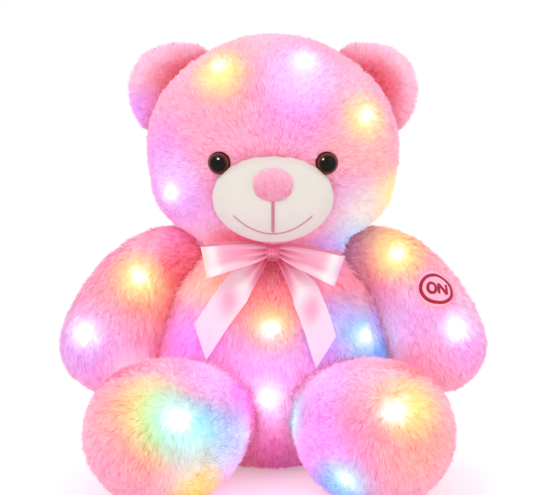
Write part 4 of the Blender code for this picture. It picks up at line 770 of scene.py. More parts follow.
def pile_colour_group():
    """Colour of pile from its tint: paler at the tips as painted light, deeper at the roots as painted
    shade, and its light from within as a painted glow.
    """
    colour, number = "NodeSocketColor", "NodeSocketFloat"
    tree, n, l, given, result = group(
        "pile_colour",
        [("Tint", colour, (1, 1, 1, 1)), ("Rise", number, 1.0), ("Tone", number, 0.5), ("Glow", number, 0.0),
         ("Root Depth", number, 0.5)],
        [("Color", colour), ("Light", colour)],
    )
    tint, rise, tone, glow, root_depth = given.outputs[:5]
    deep = mixed(n, l, 1.0, tint, tint, "MULTIPLY")
    # painted shade: the pile is deeper towards its roots
    low = maths(n, l, "MULTIPLY", maths(n, l, "SUBTRACT", 1.0, rise), root_depth)
    dull = maths(n, l, "MULTIPLY_ADD", tone, -0.34, 0.34)
    low = maths(n, l, "ADD", low, maths(n, l, "MULTIPLY", dull, rise))
    # painted light: the tips are paler, more so on lighter strands
    pale = maths(n, l, "MULTIPLY", maths(n, l, "MULTIPLY", tone, rise), 0.42)
    lit = mixed(n, l, pale, mixed(n, l, low, tint, deep), (1.0, 0.92, 0.97))
    l.new(lit, result.inputs["Color"])
    # painted glow: the pile gives off its own colour as the lamps within light it
    lively = maths(n, l, "MULTIPLY_ADD", tone, 0.9, 0.55)
    l.new(scaled(n, l, tint, maths(n, l, "MULTIPLY", glow, lively)), result.inputs["Light"])
    return tree


pile_colour = pile_colour_group()


def make_plush_fur():
    made, n, l, shader = material("plush_fur")
    colour = use_group(n, pile_colour, Root_Depth=0.55)
    l.new(attribute(n, "tint").outputs["Vector"], colour.inputs["Tint"])
    for name in ("rise", "tone", "glow"):
        l.new(attribute(n, name).outputs["Fac"], colour.inputs[name.title()])
    l.new(colour.outputs["Color"], shader.inputs["Base Color"])
    # painted glow: the fur gives off the light of the lamps under it as emission
    l.new(colour.outputs["Light"], shader.inputs["Emission Color"])
    constants(shader, Roughness=0.75, Specular_IOR_Level=0.15, Emission_Strength=1.0, Sheen_Weight=0.12,
              Sheen_Roughness=0.5)
    return made


def make_plush_skin():
    made, n, l, shader = material("plush_skin")
    noise = texture(n, l, "Noise", Scale=900.0, Detail=3.0)
    # painted shade: the skin takes the deep root colour of the pile
    colour = use_group(n, pile_colour, Root_Depth=0.7, Rise=0.25)
    l.new(attribute(n, "tint").outputs["Vector"], colour.inputs["Tint"])
    l.new(attribute(n, "glow").outputs["Fac"], colour.inputs["Glow"])
    l.new(noise.outputs["Fac"], colour.inputs["Tone"])
    l.new(colour.outputs["Color"], shader.inputs["Base Color"])
    # painted glow: the skin under the fur gives off the same light
    l.new(colour.outputs["Light"], shader.inputs["Emission Color"])
    relief(n, l, shader, noise.outputs["Fac"], 0.0008, 0.6)
    constants(shader, Roughness=0.9, Specular_IOR_Level=0.1, Emission_Strength=1.0)
    return made


def make_muzzle_cloth():
    """Short velvety cloth of the muzzle: nearly smooth, with a faint nap."""
    made, n, l, shader = material("muzzle_cloth")
    nap = texture(n, l, "Noise", Scale=1400.0, Detail=3.0)
    patches = texture(n, l, "Noise", Scale=55.0)
    soft = mixed(n, l, patches.outputs["Fac"], (0.80, 0.745, 0.665), (0.86, 0.82, 0.75))
    tone = mixed(n, l, maths(n, l, "MULTIPLY", nap.outputs["Fac"], 0.25), soft, (0.98, 0.94, 0.90))
    l.new(tone, shader.inputs["Base Color"])
    relief(n, l, shader, nap.outputs["Fac"], 0.0003, 0.35)
    constants(shader, Roughness=0.85, Specular_IOR_Level=0.15, Sheen_Weight=0.25, Sheen_Roughness=0.4)
    return made


plush_fur = make_plush_fur()
plush_skin = make_plush_skin()
muzzle_cloth = make_muzzle_cloth()


def make_studio():
    """A white floor that keeps the soft shadow, and soft light from above and in front."""
    bpy.ops.mesh.primitive_plane_add(size=40.0)
    floor = bpy.context.object
    floor.name = "studio_floor"
    made, n, l, shader = material("studio_floor")
    constants(shader, Base_Color=(0.94, 0.935, 0.94, 1.0), Roughness=0.6, Specular_IOR_Level=0.1,
              Emission_Strength=1.0)
    seen = n.new("ShaderNodeLightPath")
    lift = maths(n, l, "MULTIPLY", seen.outputs["Is Camera Ray"], 0.26)
    l.new(lift, shader.inputs["Emission Color"])
    floor.data.materials.append(made)
    world = bpy.data.worlds.new("studio")
    world.use_nodes = True
    bpy.context.scene.world = world
    n, l = world.node_tree.nodes, world.node_tree.links
    sky = n["Background"]
    constants(sky, Color=(1.0, 0.985, 1.0, 1.0), Strength=0.84)
    backdrop = n.new("ShaderNodeBackground")
    constants(backdrop, Color=(1, 1, 1, 1), Strength=1.0)
    path = n.new("ShaderNodeLightPath")
    choose = n.new("ShaderNodeMixShader")
    l.new(path.outputs["Is Camera Ray"], choose.inputs[0])
    l.new(sky.outputs[0], choose.inputs[1])
    l.new(backdrop.outputs[0], choose.inputs[2])
    l.new(choose.outputs[0], n["World Output"].inputs["Surface"])

    def softbox(name, place, aim, size, power):
        data = bpy.data.lights.new(name, "AREA")
        data.shape = "RECTANGLE"
        data.size, data.size_y = size
        data.energy = power
        lamp = bpy.data.objects.new(name, data)
        bpy.context.scene.collection.objects.link(lamp)
        lamp.location = place
        lamp.rotation_euler = (Vector(aim) - Vector(place)).to_track_quat("-Z", "Y").to_euler()
        return lamp

    softbox("key_light", (-0.9, -1.5, 1.7), (0.0, -0.03, 0.18), (0.8, 0.8), 7.0)
    softbox("fill_light", (1.3, -1.3, 0.8), (0.0, 0.0, 0.18), (1.2, 1.2), 2.5)
    softbox("eye_light", (-0.42, -1.15, 0.95), (0.0, -0.09, 0.25), (0.34, 0.34), 24.0)
    softbox("back_light", (0.0, 1.2, 1.5), (0.0, 0.0, 0.2), (1.4, 0.8), 4.0)


make_studio()
bpy.context.scene.view_settings.view_transform = "Standard"

# Skins of the stuffed pieces
def joined_form(name, inset, *sources):
    return soft_form(name, sources, inset, joins=["body_cover"])


def leg_form(side):
    parts = ("leg_%s_cover" % side, "leg_%s_stuffing" % side, "foot_sole_" + side)
    return joined_form("leg_%s_skin" % side, PILE_INSET, *parts)


def ear_form(side):
    return soft_form("ear_%s_skin" % side, ["ear_" + side], EAR_INSET, voxel=0.0018, rounds=8,
                     joins=["head_cover"])


head_skin = joined_form("head_skin", PILE_INSET, "head_cover", "head_stuffing")
body_skin = soft_form("body_skin", ["body_cover", "body_stuffing"], PILE_INSET)
arm_left_skin = joined_form("arm_left_skin", ARM_INSET, "arm_left_cover", "arm_left_stuffing")
arm_right_skin = joined_form("arm_right_skin", ARM_INSET, "arm_right_cover", "arm_right_stuffing",
                             "on_patch")
leg_left_skin, leg_right_skin = leg_form("left"), leg_form("right")
soles = {side: round_sole(skin, "foot_sole_" + side)
         for side, skin in (("left", leg_left_skin), ("right", leg_right_skin))}
ear_left_skin, ear_right_skin = ear_form("left"), ear_form("right")
for skin in (ear_left_skin, ear_right_skin):
    hang_ear(skin)
fill_cheeks(head_skin)
press_in(arm_right_skin, MARK_PLACE, MARK_OUT)
lay_round_zip(body_skin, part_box("zip_tape_right"))
muzzle_skin = soft_form("muzzle_skin", ["muzzle"], MUZZLE_INSET, voxel=0.0013, rounds=26,
                        joins=["head_cover"], grip=0.0)
nose_skin = soft_form("nose_skin", ["nose"], NOSE_INSET, voxel=0.0008, rounds=10, joins=["muzzle"],
                      grip=-0.003)
patch_skin = soft_form("on_patch_skin", ["on_patch"], 0.0004, voxel=0.0007, rounds=10)
skins = (head_skin, body_skin, arm_left_skin, arm_right_skin, leg_left_skin, leg_right_skin, ear_left_skin,
         ear_right_skin, muzzle_skin, nose_skin, patch_skin)
trees = {skin.name: tree_of(skin) for skin in skins}
node_trees = {name: tree_of(nodes[name]) for name in (
    "eye_left", "eye_right", "bow_knot", "bow_loop_left", "bow_loop_right", "bow_tail_left",
    "bow_tail_right", "neck_ribbon", "zip_tape_left", "zip_tape_right")}

PLUSH = "pink_plush"
for skin, body, finish, *covered in (
        (head_skin, "head", PLUSH, "head_cover", "head_stuffing"),
        (body_skin, "torso", PLUSH, "body_cover", "body_stuffing"),
        (arm_left_skin, "arm_left", PLUSH, "arm_left_cover", "arm_left_stuffing"),
        (arm_right_skin, "arm_right", PLUSH, "arm_right_cover", "arm_right_stuffing"),
        (leg_left_skin, "leg_left", PLUSH, "leg_left_cover", "leg_left_stuffing", "foot_sole_left"),
        (leg_right_skin, "leg_right", PLUSH, "leg_right_cover", "leg_right_stuffing", "foot_sole_right"),
        (ear_left_skin, "head", PLUSH, "ear_left"),
        (ear_right_skin, "head", PLUSH, "ear_right"),
        (muzzle_skin, "head", "muzzle_plush", "muzzle"),
        (nose_skin, "head", "nose_plush", "nose"),
        (patch_skin, "switch_press", PLUSH, "on_patch")):
    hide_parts(*covered)
    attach(skin, body)
    skin.data.materials.append(muzzle_cloth if skin is muzzle_skin else plush_skin)


def pressed(*names, reach=0.006):
    return [(node_trees[name], reach) for name in names]


def beside(*names, reach=CREASE_REACH):
    return [(trees[name], reach) for name in names]


def ear_rim_light_and_hollow_shade(places):
    """Painted light and shade on the ears: pale at the rim, deep pink in the hollow by the head."""
    away = np.hypot(np.abs(places[:, 0:1]) - 0.070, places[:, 2:3] - 0.297)
    share = np.clip((away - 0.016) / 0.022, 0.0, 1.0)
    return np.array(EAR_HOLLOW_SHADE) * (1 - share) + np.array(PALE_PINK) * share


def nose_shading_and_mottle(places):
    """The nose is paler on top as painted light and deeper below as painted shade, with a mottled pile."""
    height = np.clip((places[:, 2] - 0.2300) / 0.022, 0, 1)[:, None]
    mottle = (ripple(places, 0.0034, 5) * 0.5 + 0.5)[:, None]
    low, high, pale = (np.array(srgb(*c)) for c in ((240, 136, 174), (253, 190, 216), (255, 218, 234)))
    toned = low * (1 - height) + high * height
    return toned * (1 - mottle * 0.35) + pale * mottle * 0.35


def off_mark(c):
    """How far some places lie from the middle of the mark, across it and out of it."""
    apart = c - MARK_PLACE
    out = apart @ MARK_OUT
    return np.linalg.norm(apart - out[:, None] * MARK_OUT, axis=1), out


def patch_rim(c):
    """The border of the patch, outside the stitched ring."""
    across, out = off_mark(c)
    return (across > 0.0150) & (out > -0.006)


def patch_middle(c):
    """The patch inside its border."""
    return (off_mark(c)[1] > -0.0045) & ~patch_rim(c)


def clear_of_patch(c):
    """Everywhere but under the round patch of the switch."""
    across, out = off_mark(c)
    return (across > 0.0160) | (out < -0.02)


# Each skin takes its painted light and shade here: its washes, and the fold colour laid into its creases to
# the given depth as painted shade
head = paint_skin(head_skin, PAINTED_LIGHT_AND_SHADE["head"], PINK, pressed("eye_left", "eye_right", reach=0.0075),
                  beside("ear_left_skin", "ear_right_skin", "body_skin")
                  + beside("muzzle_skin", reach=SEAM_REACH), depth=0.48)
body = paint_skin(body_skin, PAINTED_LIGHT_AND_SHADE["body"], PINK,
                  pressed("bow_knot", "bow_loop_left", "bow_loop_right", "neck_ribbon", "bow_tail_left",
                          "bow_tail_right", "zip_tape_left", "zip_tape_right", reach=0.007),
                  beside("head_skin", "arm_left_skin", "arm_right_skin", "leg_left_skin", "leg_right_skin"))
LIMBS = {
    name: paint_skin(skin, PAINTED_LIGHT_AND_SHADE[name], PINK, (), beside(*neighbours), tint, fold=fold, depth=depth)
    for name, skin, neighbours, tint, fold, depth in (
        ("arm_left", arm_left_skin, ("body_skin", "head_skin"), None, CREASE_SHADE_RED, 0.85),
        ("arm_right", arm_right_skin, ("body_skin", "head_skin"), None, CREASE_SHADE_WINE, 0.75),
        ("leg_left", leg_left_skin, ("body_skin",), None, CREASE_SHADE_MAGENTA, 0.3),
        ("leg_right", leg_right_skin, ("body_skin",), None, CREASE_SHADE_MAGENTA, 0.3),
        ("ear_left", ear_left_skin, ("head_skin",), ear_rim_light_and_hollow_shade, ROSE, 0.80),
        ("ear_right", ear_right_skin, ("head_skin",), ear_rim_light_and_hollow_shade, ROSE, 0.80))
}
paint_skin(muzzle_skin, [], srgb(240, 230, 216))
nose = paint_skin(nose_skin, [], srgb(250, 168, 198), base_tint=nose_shading_and_mottle)
patch = paint_skin(patch_skin, [], srgb(255, 200, 224))

FACE_CENTRE = np.array([0.0, -0.100, 0.238])


def comb_head(p):
    """Outwards from the face, and down at the back."""
    down = np.array([0.0, 0.0, -1.0])
    back = np.clip((p[:, 1:2] + 0.02) / 0.08, 0, 1)
    return unit(p - FACE_CENTRE) * (1 - 0.75 * back) + down * 0.9 * back + down * 0.15


def comb_body(p):
    """Down, and outwards from the middle."""
    return np.stack([p[:, 0] * 3.0, p[:, 1] * 1.0, np.full(len(p), -1.0)], axis=1)


def comb_along(start, middle, end):
    """From a joint towards the end of a limb."""
    start, middle, end = (np.array(v) for v in (start, middle, end))

    def comb(p):
        first, second = unit(middle - start), unit(end - middle)
        share = np.clip(((p - middle) @ unit(end - start)) / 0.05 + 0.5, 0, 1)[:, None]
        return first * (1 - share) + second * share + np.array([0, 0, -0.25])

    return comb


def comb_foot(hip, foot, sole, crown):
    """Along the leg, and over the sole outwards from its crown and down."""
    hip, foot = np.array(hip), np.array(foot)
    centre, axis = sole

    def comb(p):
        along = unit(foot - hip)
        share = np.clip(((p - centre) @ axis + 0.020) / 0.018, 0, 1)[:, None]
        away = unit(p - crown)
        return along * (1 - share) + (away + np.array([0, 0, -0.30])) * share

    return comb


def comb_from(centre, lift=0.15):
    """Outwards from a place."""
    centre = np.array(centre)
    return lambda p: unit(p - centre) + np.array([0.0, 0.0, lift])


def between(low, high):
    """The share of a piece between two depths, front to back."""
    return lambda c: ((c[:, 1] >= low) & (c[:, 1] < high)).astype(float)


FOOT_CROWNS = {"left": (176, 408), "right": (385, 398)}
SOLE_FRONT = -0.145
PILE = dict(density=2.1, pull=0.28)
THIN_PILE = dict(density=1.6, pull=0.28)
# Parts of the fur of head and body, from front to back: name, first depth, last depth, pile
HEAD_PARTS = (("face", -1, -0.045, PILE), ("crown", -0.045, 0.0, PILE), ("sides", 0.0, 0.048, PILE),
              ("back", 0.048, 1, THIN_PILE))
BODY_PARTS = (("front", -1, -0.038, PILE), ("sides", -0.038, 0.018, THIN_PILE),
              ("back", 0.018, 0.052, THIN_PILE), ("zip", 0.052, 1, THIN_PILE))
for seed, (name, low, high, pile) in enumerate(HEAD_PARTS, 11):
    grow("head_fur_" + name, head, "head", HEAD_PILE, comb_head, seed=seed, part=between(low, high), **pile)
for seed, (name, low, high, pile) in enumerate(BODY_PARTS, 15):
    grow("body_fur_" + name, body, "torso", BODY_PILE, comb_body, seed=seed, part=between(low, high), **pile)
for side, sign in (("left", -1), ("right", 1)):
    grow("arm_%s_fur" % side, LIMBS["arm_" + side], "arm_" + side, LIMB_PILE,
         comb_along((sign * 0.068, 0, 0.168), (sign * 0.108, -0.005, 0.178), (sign * 0.136, -0.022, 0.096)),
         seed=20 + sign, part=clear_of_patch if side == "right" else None, **PILE)
    leg = LIMBS["leg_" + side]
    crown = np.array(on_surface(trees["leg_%s_skin" % side], *FOOT_CROWNS[side]))
    comb = comb_foot((sign * 0.050, -0.036, 0.044), (sign * 0.085 - 0.003, -0.142, 0.0565), soles[side],
                     crown)
    grow("leg_%s_fur" % side, leg, "leg_" + side, LIMB_PILE, comb, seed=30 + sign,
         part=between(SOLE_FRONT, 1), **THIN_PILE)
    grow("foot_%s_fur" % side, leg, "leg_" + side, SOLE_PILE, comb, seed=35 + sign,
         part=between(-1, SOLE_FRONT), stray=0.20, swirl=0.14, lift=(40.0, 14.0), **PILE)
    grow("ear_%s_fur" % side, LIMBS["ear_" + side], "head", EAR_PILE,
         comb_from((sign * 0.070, -0.02, 0.285)), seed=40 + sign, density=2.4, lift=(58.0, 34.0), stray=0.42,
         pull=0.22)
grow("nose_fuzz", nose, "head", 0.0019, comb_from((0, -0.13, 0.246), 0.0), density=7.0, seed=50,
     width=FUZZ_WIDTH, lift=(70.0, 50.0), clump=0.0011, pull=0.35, slot="nose_plush",
     part=between(-1, -0.1035))
grow("on_patch_fuzz", patch, "switch_press", 0.0014, comb_from((0.10, -0.03, 0.19), -0.5), density=6.0,
     seed=51, width=FUZZ_WIDTH, lift=(60.0, 30.0), clump=0.0012, pull=0.3, part=patch_middle)
grow("on_patch_rim_fur", patch, "switch_press", 0.0062, comb_from(MARK_PLACE, 0.0), density=3.2, seed=52,
     lift=(48.0, 18.0), part=patch_rim)


def tubes(name, paths, radius, sides=6, taper=None):
    """Round threads along several paths, as one mesh: taper is the share of the radius at each point."""
    verts, faces = [], []
    for path in paths:
        path = np.asarray(path, float)
        steps = len(path)
        tangent = unit(np.gradient(path, axis=0))
        guide = np.array([0.0, 0.0, 1.0]) if abs(tangent[0, 2]) < 0.9 else np.array([1.0, 0.0, 0.0])
        across = unit(np.cross(tangent[0], guide))
        start = len(verts)
        for i in range(steps):
            across = unit(across - tangent[i] * (across @ tangent[i]))
            other = np.cross(tangent[i], across)
            r = radius * (1.0 if taper is None else taper[i])
            for k in range(sides):
                angle = 2 * math.pi * k / sides
                verts.append(path[i] + (across * math.cos(angle) + other * math.sin(angle)) * r)
        for i in range(steps - 1):
            for k in range(sides):
                a, b = start + i * sides + k, start + i * sides + (k + 1) % sides
                faces.append((a, b, b + sides, a + sides))
        faces.append(tuple(start + k for k in reversed(range(sides))))
        faces.append(tuple(start + (steps - 1) * sides + k for k in range(sides)))
    mesh = bpy.data.meshes.new(name)
    mesh.from_pydata([tuple(v) for v in verts], [], faces)
    mesh.update()
    mesh.polygons.foreach_set("use_smooth", np.ones(len(faces), bool))
    return new_piece(name, mesh)


def front_of(tree, x, z, lift=0.0):
    """The front of a form at a place across and up, raised a little off it."""
    hit, normal, _, _ = tree.ray_cast(Vector((x, -0.5, z)), Vector((0.0, 1.0, 0.0)))
    return np.array(hit + normal * lift), np.array(normal)


def placed_with(piece, matrix):
    """Moves a finished piece's points, so that its object stays at the origin, unturned."""
    piece.data.transform(matrix)
    piece.data.update()


def facing(place, out):
    """The turn that points +Z along a direction, at a place."""
    return Matrix.Translation(Vector(place)) @ Vector(out).to_track_quat("Z", "Y").to_matrix().to_4x4()


def turned(name, profile, steps=64, smooth_angle=35.0):
    """A round piece spun from a profile of (radius, height), about +Z at the origin."""
    mesh = bpy.data.meshes.new(name)
    mesh.from_pydata([(r, 0.0, z) for r, z in profile], [(i, i + 1) for i in range(len(profile) - 1)], [])
    piece = new_piece(name, mesh)
    spin = dict(steps=steps, angle=2 * math.pi, center=(0, 0, 0), axis=(0, 0, 1))
    return worked(piece, smooth_angle, (bpy.ops.mesh.spin, spin),
                  (bpy.ops.mesh.remove_doubles, dict(threshold=0.000005)),
                  (bpy.ops.mesh.normals_make_consistent, dict(inside=False)))


def finish_piece(piece, body, slot_name, coat, *covered):
    piece.data.materials.clear()
    piece.data.materials.append(coat)
    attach(piece, body)
    if covered:
        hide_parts(*covered)


# Safety eyes: a black dome with a brown ring under its clear edge
def make_eye_gloss():
    made, n, l, shader = material("eye_gloss")
    ramp = n.new("ShaderNodeValToRGB")
    stops = ramp.color_ramp.elements
    stops[0].position, stops[0].color = 0.0, (0.004, 0.002, 0.002, 1)
    stops[1].position, stops[1].color = 0.62, (0.006, 0.002, 0.002, 1)
    for position, colour in ((0.74, (0.09, 0.020, 0.011)), (0.84, (0.20, 0.048, 0.027)),
                             (0.92, (0.05, 0.010, 0.006)), (1.0, (0.012, 0.004, 0.003))):
        stops.new(position).color = (*colour, 1)
    l.new(attribute(n, "ring").outputs["Fac"], ramp.inputs["Fac"])
    l.new(ramp.outputs["Color"], shader.inputs["Base Color"])
    constants(shader, Roughness=0.3, Specular_IOR_Level=0.0, Coat_Weight=1.0, Coat_Roughness=0.02,
              Coat_IOR=1.27)
    return made


eye_gloss = make_eye_gloss()
EYE_RADIUS, EYE_DOME = 0.0090, 0.0062
EYE_ACROSS, EYE_UP = 0.0405, 0.2551
EYE_RIM = [(0.00862, 0.0009), (0.00885, 0.0004), (0.0090, -0.0002), (0.0088, -0.0009), (0.0080, -0.0014),
           (0.0024, -0.0016), (0.0023, -0.012), (0.0, -0.012)]


def make_eye(side_name, x):
    """A domed eye with a rounded rim, set into the pile."""
    profile = [(0.0, EYE_DOME)]
    for i in range(1, 18):
        angle = math.radians(5.0 * i)
        radius = EYE_RADIUS * 0.93 * math.sin(angle) ** 0.97
        profile.append((radius, 0.0007 + (EYE_DOME - 0.0007) * math.cos(angle)))
    profile += EYE_RIM
    eye = turned("eye_%s_dome" % side_name, profile, steps=72, smooth_angle=60)
    spots = np.array([v.co for v in eye.data.vertices])
    set_attribute(eye.data, "ring", np.clip(np.linalg.norm(spots[:, :2], axis=1) / EYE_RADIUS, 0, 1))
    base, normal = front_of(trees["head_skin"], x, EYE_UP)
    normal = unit(normal * 0.8 + np.array([0, -0.35, 0.0]))
    placed_with(eye, facing(base + normal * (PILE_INSET - 0.0002), normal))
    finish_piece(eye, "head", "eye_plastic", eye_gloss, "eye_" + side_name)
    return eye


# This lamp gives only the highlight in the eyes: it lights nothing else, and adds nothing to their colour
eyes_only = bpy.data.collections.new("eyes_only")
for side, sign in (("left", -1), ("right", 1)):
    eyes_only.objects.link(make_eye(side, sign * EYE_ACROSS))
eye_light = bpy.data.objects["eye_light"]
eye_light.light_linking.receiver_collection = eyes_only
eye_light.visible_diffuse = False


def thread_material(name, colour, second):
    """Twisted embroidery thread: fine slanting strands with a soft sheen."""
    made, n, l, shader = material(name)
    strands = use_group(n, thread_strands, Scale=2600.0)
    tone = mixed(n, l, strands.outputs["Value"], colour, second)
    l.new(tone, shader.inputs["Base Color"])
    relief(n, l, shader, strands.outputs["Value"], 0.0002, 0.7)
    constants(shader, Roughness=0.55, Specular_IOR_Level=0.35, Sheen_Weight=0.2)
    return made


def make_thread_strands():
    tree, n, l, given, result = group("thread_strands", [("Scale", "NodeSocketFloat", 2600.0)],
                                      [("Value", "NodeSocketFloat")])
    wave = texture(n, l, "Wave", Distortion=2.0, Detail=2.0)
    wave.bands_direction = "DIAGONAL"
    l.new(given.outputs["Scale"], wave.inputs["Scale"])
    l.new(wave.outputs["Fac"], result.inputs["Value"])
    return tree


thread_strands = make_thread_strands()
mouth_stitch = thread_material("mouth_stitch", srgb(238, 128, 166), srgb(250, 164, 194))
mark_stitch = thread_material("mark_stitch", srgb(196, 14, 52), srgb(226, 40, 80))


def twisted(path, radius, pitch, strands=2, across=0.55):
    """Paths of the strands of a cord that is twisted round a path."""
    path = np.asarray(path, float)
    fine = np.linspace(0, len(path) - 1, 160)
    line = np.stack([np.interp(fine, np.arange(len(path)), path[:, k]) for k in range(3)], axis=1)
    run = np.concatenate([[0], np.cumsum(np.linalg.norm(np.diff(line, axis=0), axis=1))])
    tangent = unit(np.gradient(line, axis=0))
    side_way = unit(np.cross(tangent, np.array([0.0, -1.0, 0.02])))
    out = np.cross(side_way, tangent)
    found = []
    for k in range(strands):
        angle = run / pitch * 2 * math.pi + 2 * math.pi * k / strands
        way = side_way * np.cos(angle)[:, None] + out * np.sin(angle)[:, None]
        found.append(line + way * radius * across)
    return found


# Stitched mouth: a twisted cord down from the nose, and a fine back stitch for the smile
muzzle_tree = trees["muzzle_skin"]
mouth_path = [front_of(muzzle_tree, 0.0, z, 0.0004)[0] for z in np.linspace(0.2290, 0.2058, 12)]
mouth = tubes("mouth_cord", twisted(mouth_path, 0.00110, 0.0028), 0.00066, sides=7)
finish_piece(mouth, "head", "mouth_thread", mouth_stitch, "mouth_line")
smile_across = np.linspace(-1, 1, 97)
smile_path = np.array([front_of(muzzle_tree, 0.030 * a, 0.2035 + 0.0140 * a * a, 0.00015)[0]
                       for a in smile_across])
smile_stitches = []
for i in range(0, 96, 4):
    stretch = smile_path[i:i + 5].copy()
    rise = np.array([-0.00015, 0.00022, 0.00030, 0.00022, -0.00015])
    normal = unit(np.array([front_of(muzzle_tree, p[0], p[2])[1] for p in stretch]))
    smile_stitches.append(stretch + normal * rise[:, None])
smile = tubes("smile_stitches", smile_stitches, 0.00046, sides=6, taper=[0.75, 1, 1, 1, 0.75])
finish_piece(smile, "head", "mouth_thread", mouth_stitch, "smile_line")


# Satin ribbon of the bow: 25 mm wide, gathered at the knot
RIBBON_WIDTH = 0.025
RIBBON_THICKNESS = 0.0004
# painted shade in the gathers by the knot
KNOT_SHADE = srgb(234, 84, 124)
KNOT_HEIGHT = 0.58
KNOT_SHARE = 0.74
KNOT_RAISE = 0.0022
TAIL_WIDTH = 0.0225
# Of these satin colours only the pink is the ribbon's own: the pale one is painted light, the deep one
# painted shade, the white one a painted highlight and the warm one painted lamp light
SATIN_LIT_PALE = srgb(255, 226, 238)
SATIN_PINK = srgb(250, 178, 206)
SATIN_SHADE = srgb(240, 116, 152)
SATIN_HIGHLIGHT = srgb(255, 244, 244)
SATIN_WARM_LIGHT = srgb(255, 240, 205)


def make_satin():
    """Satin: colour from the ribbon's own attribute, which carries painted light and shade, with a faint
    painted glow, fine weft lines, and a broad soft sheen along the weave.
    """
    made, n, l, shader = material("bow_satin")
    tint = attribute(n, "tint").outputs["Vector"]
    weft = texture(n, l, "Wave", woven_place(n), Scale=90.0, Distortion=1.5, Detail=2.0)
    weft.bands_direction = "Y"
    lines = maths(n, l, "MULTIPLY", weft.outputs["Fac"], 0.10)
    l.new(mixed(n, l, lines, tint, (1.0, 0.95, 0.97)), shader.inputs["Base Color"])
    # painted glow: a little of the ribbon's colour given off as emission
    l.new(scaled(n, l, tint, 0.08), shader.inputs["Emission Color"])
    relief(n, l, shader, weft.outputs["Fac"], 0.00008, 0.35)
    constants(shader, Roughness=0.34, Specular_IOR_Level=0.45, Anisotropic=0.6, Sheen_Weight=0.15,
              Emission_Strength=1.0)
    return made


bow_satin = make_satin()


def ribbon(name, along_steps, across_steps, place_of, tint_of, closed=False, length=0.1):
    """A ribbon laid by a rule for each (along, across), with thickness, weave and the colour its rule gives,
    painted light and shade included.
    """
    alongs = np.linspace(0, 1, along_steps + 1)
    acrosses = np.linspace(-0.5, 0.5, across_steps + 1)
    rows = along_steps if closed else along_steps + 1
    verts = [place_of(alongs[i], a) for i in range(rows) for a in acrosses]
    tints = [tint_of(alongs[i], a) for i in range(rows) for a in acrosses]
    wide = across_steps + 1
    faces, uvs = [], []
    for i in range(along_steps):
        j = (i + 1) % rows
        for k in range(across_steps):
            faces.append((i * wide + k, i * wide + k + 1, j * wide + k + 1, j * wide + k))
            for row, column in ((i, k), (i, k + 1), (i + 1, k + 1), (i + 1, k)):
                uvs.append((alongs[row] * length / RIBBON_WIDTH, acrosses[column] + 0.5))
    mesh = bpy.data.meshes.new(name)
    mesh.from_pydata([tuple(v) for v in verts], [], faces)
    mesh.update()
    layer = mesh.uv_layers.new(name="weave")
    layer.data.foreach_set("uv", np.array(uvs, np.float32).ravel())
    set_attribute(mesh, "tint", np.array(tints))
    piece = new_piece(name, mesh)
    thick = piece.modifiers.new("thickness", "SOLIDIFY")
    thick.thickness = RIBBON_THICKNESS
    thick.offset = 0.0
    apply_modifiers(piece)
    return worked(piece, 60, (bpy.ops.mesh.normals_make_consistent, dict(inside=False)))


def mix(first, second, share):
    share = clipped(share)
    return np.array(first) * (1 - share) + np.array(second) * share


def bump_of(value, centre, width):
    return math.exp(-(((value - centre) / width) ** 2))


knot_low, knot_high = (np.array(v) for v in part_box("bow_knot"))
knot_centre = (knot_low + knot_high) / 2


def loop_rule(side, tilt):
    """A loop of the bow: out from the knot behind, over its end and back in front, pleated at the knot."""
    turn = math.radians(tilt)

    def place(along, across):
        angle = 2 * math.pi * along
        reach = (1 - math.cos(angle)) / 2
        wide = RIBBON_WIDTH * (0.28 + 0.72 * reach ** 0.55)
        out = 0.0500 * reach
        rise = across * wide
        gather = (1 - reach) ** 1.2
        front = 1.0 if along > 0.5 else 0.6
        pleat = 0.0024 * gather * math.cos(2 * math.pi * (across * 2.4 + 0.08)) * front
        pleat += 0.0014 * reach * (1 - reach) * 4 * math.cos(2 * math.pi * (across * 1.2 - 0.15)) * front
        arch = 0.0010 * math.sin(math.pi * reach)
        x = 0.0048 + out * math.cos(turn) + rise * math.sin(turn) * reach
        z = rise * math.cos(turn) - out * math.sin(turn) + KNOT_RAISE + arch
        y = 0.0013 * math.cos(angle / 2) + 0.0072 * math.sin(angle) - pleat - 0.0024
        return knot_centre + np.array([side * x, y, z])

    def tint(along, across):
        # painted light and shade on the loop: deeper behind and in the gathers by the knot, lighter on the
        # pleat ridges, a shaded spot, a painted highlight near the end and along one edge, and coloured
        # painted lamp light at the end
        reach = (1 - math.cos(2 * math.pi * along)) / 2
        if along < 0.5:
            return mix(SATIN_SHADE, SATIN_PINK, reach * 0.8)
        pleats = 0.5 + 0.5 * math.cos(2 * math.pi * (across * 2.4 + 0.08))
        colour = mix(KNOT_SHADE, SATIN_PINK, 0.06 + reach * 2.3 + pleats * 0.45)
        # painted shade: a darker soft spot on the loop
        shade_spot = bump_of(reach, 0.42, 0.30) * bump_of(across, -0.05 if side > 0 else 0.10, 0.34)
        colour = mix(colour, SATIN_SHADE, shade_spot * 0.50)
        # painted highlight
        shine = bump_of(reach, 0.86, 0.11) + 0.55 * bump_of(across, -0.34, 0.20) * min(1, reach * 2)
        colour = mix(colour, SATIN_HIGHLIGHT, shine * 0.95)
        # painted lamp light at the loop's end: warm on the left, cool lavender on the right
        if side < 0:
            colour = mix(colour, SATIN_WARM_LIGHT, bump_of(reach, 1.0, 0.05) * 0.8)
        else:
            cool_light = np.array(LAVENDER) * 0.5 + np.array(SATIN_LIT_PALE) * 0.5
            colour = mix(colour, cool_light, bump_of(reach, 1.0, 0.06) * 0.6)
        return colour

    return place, tint


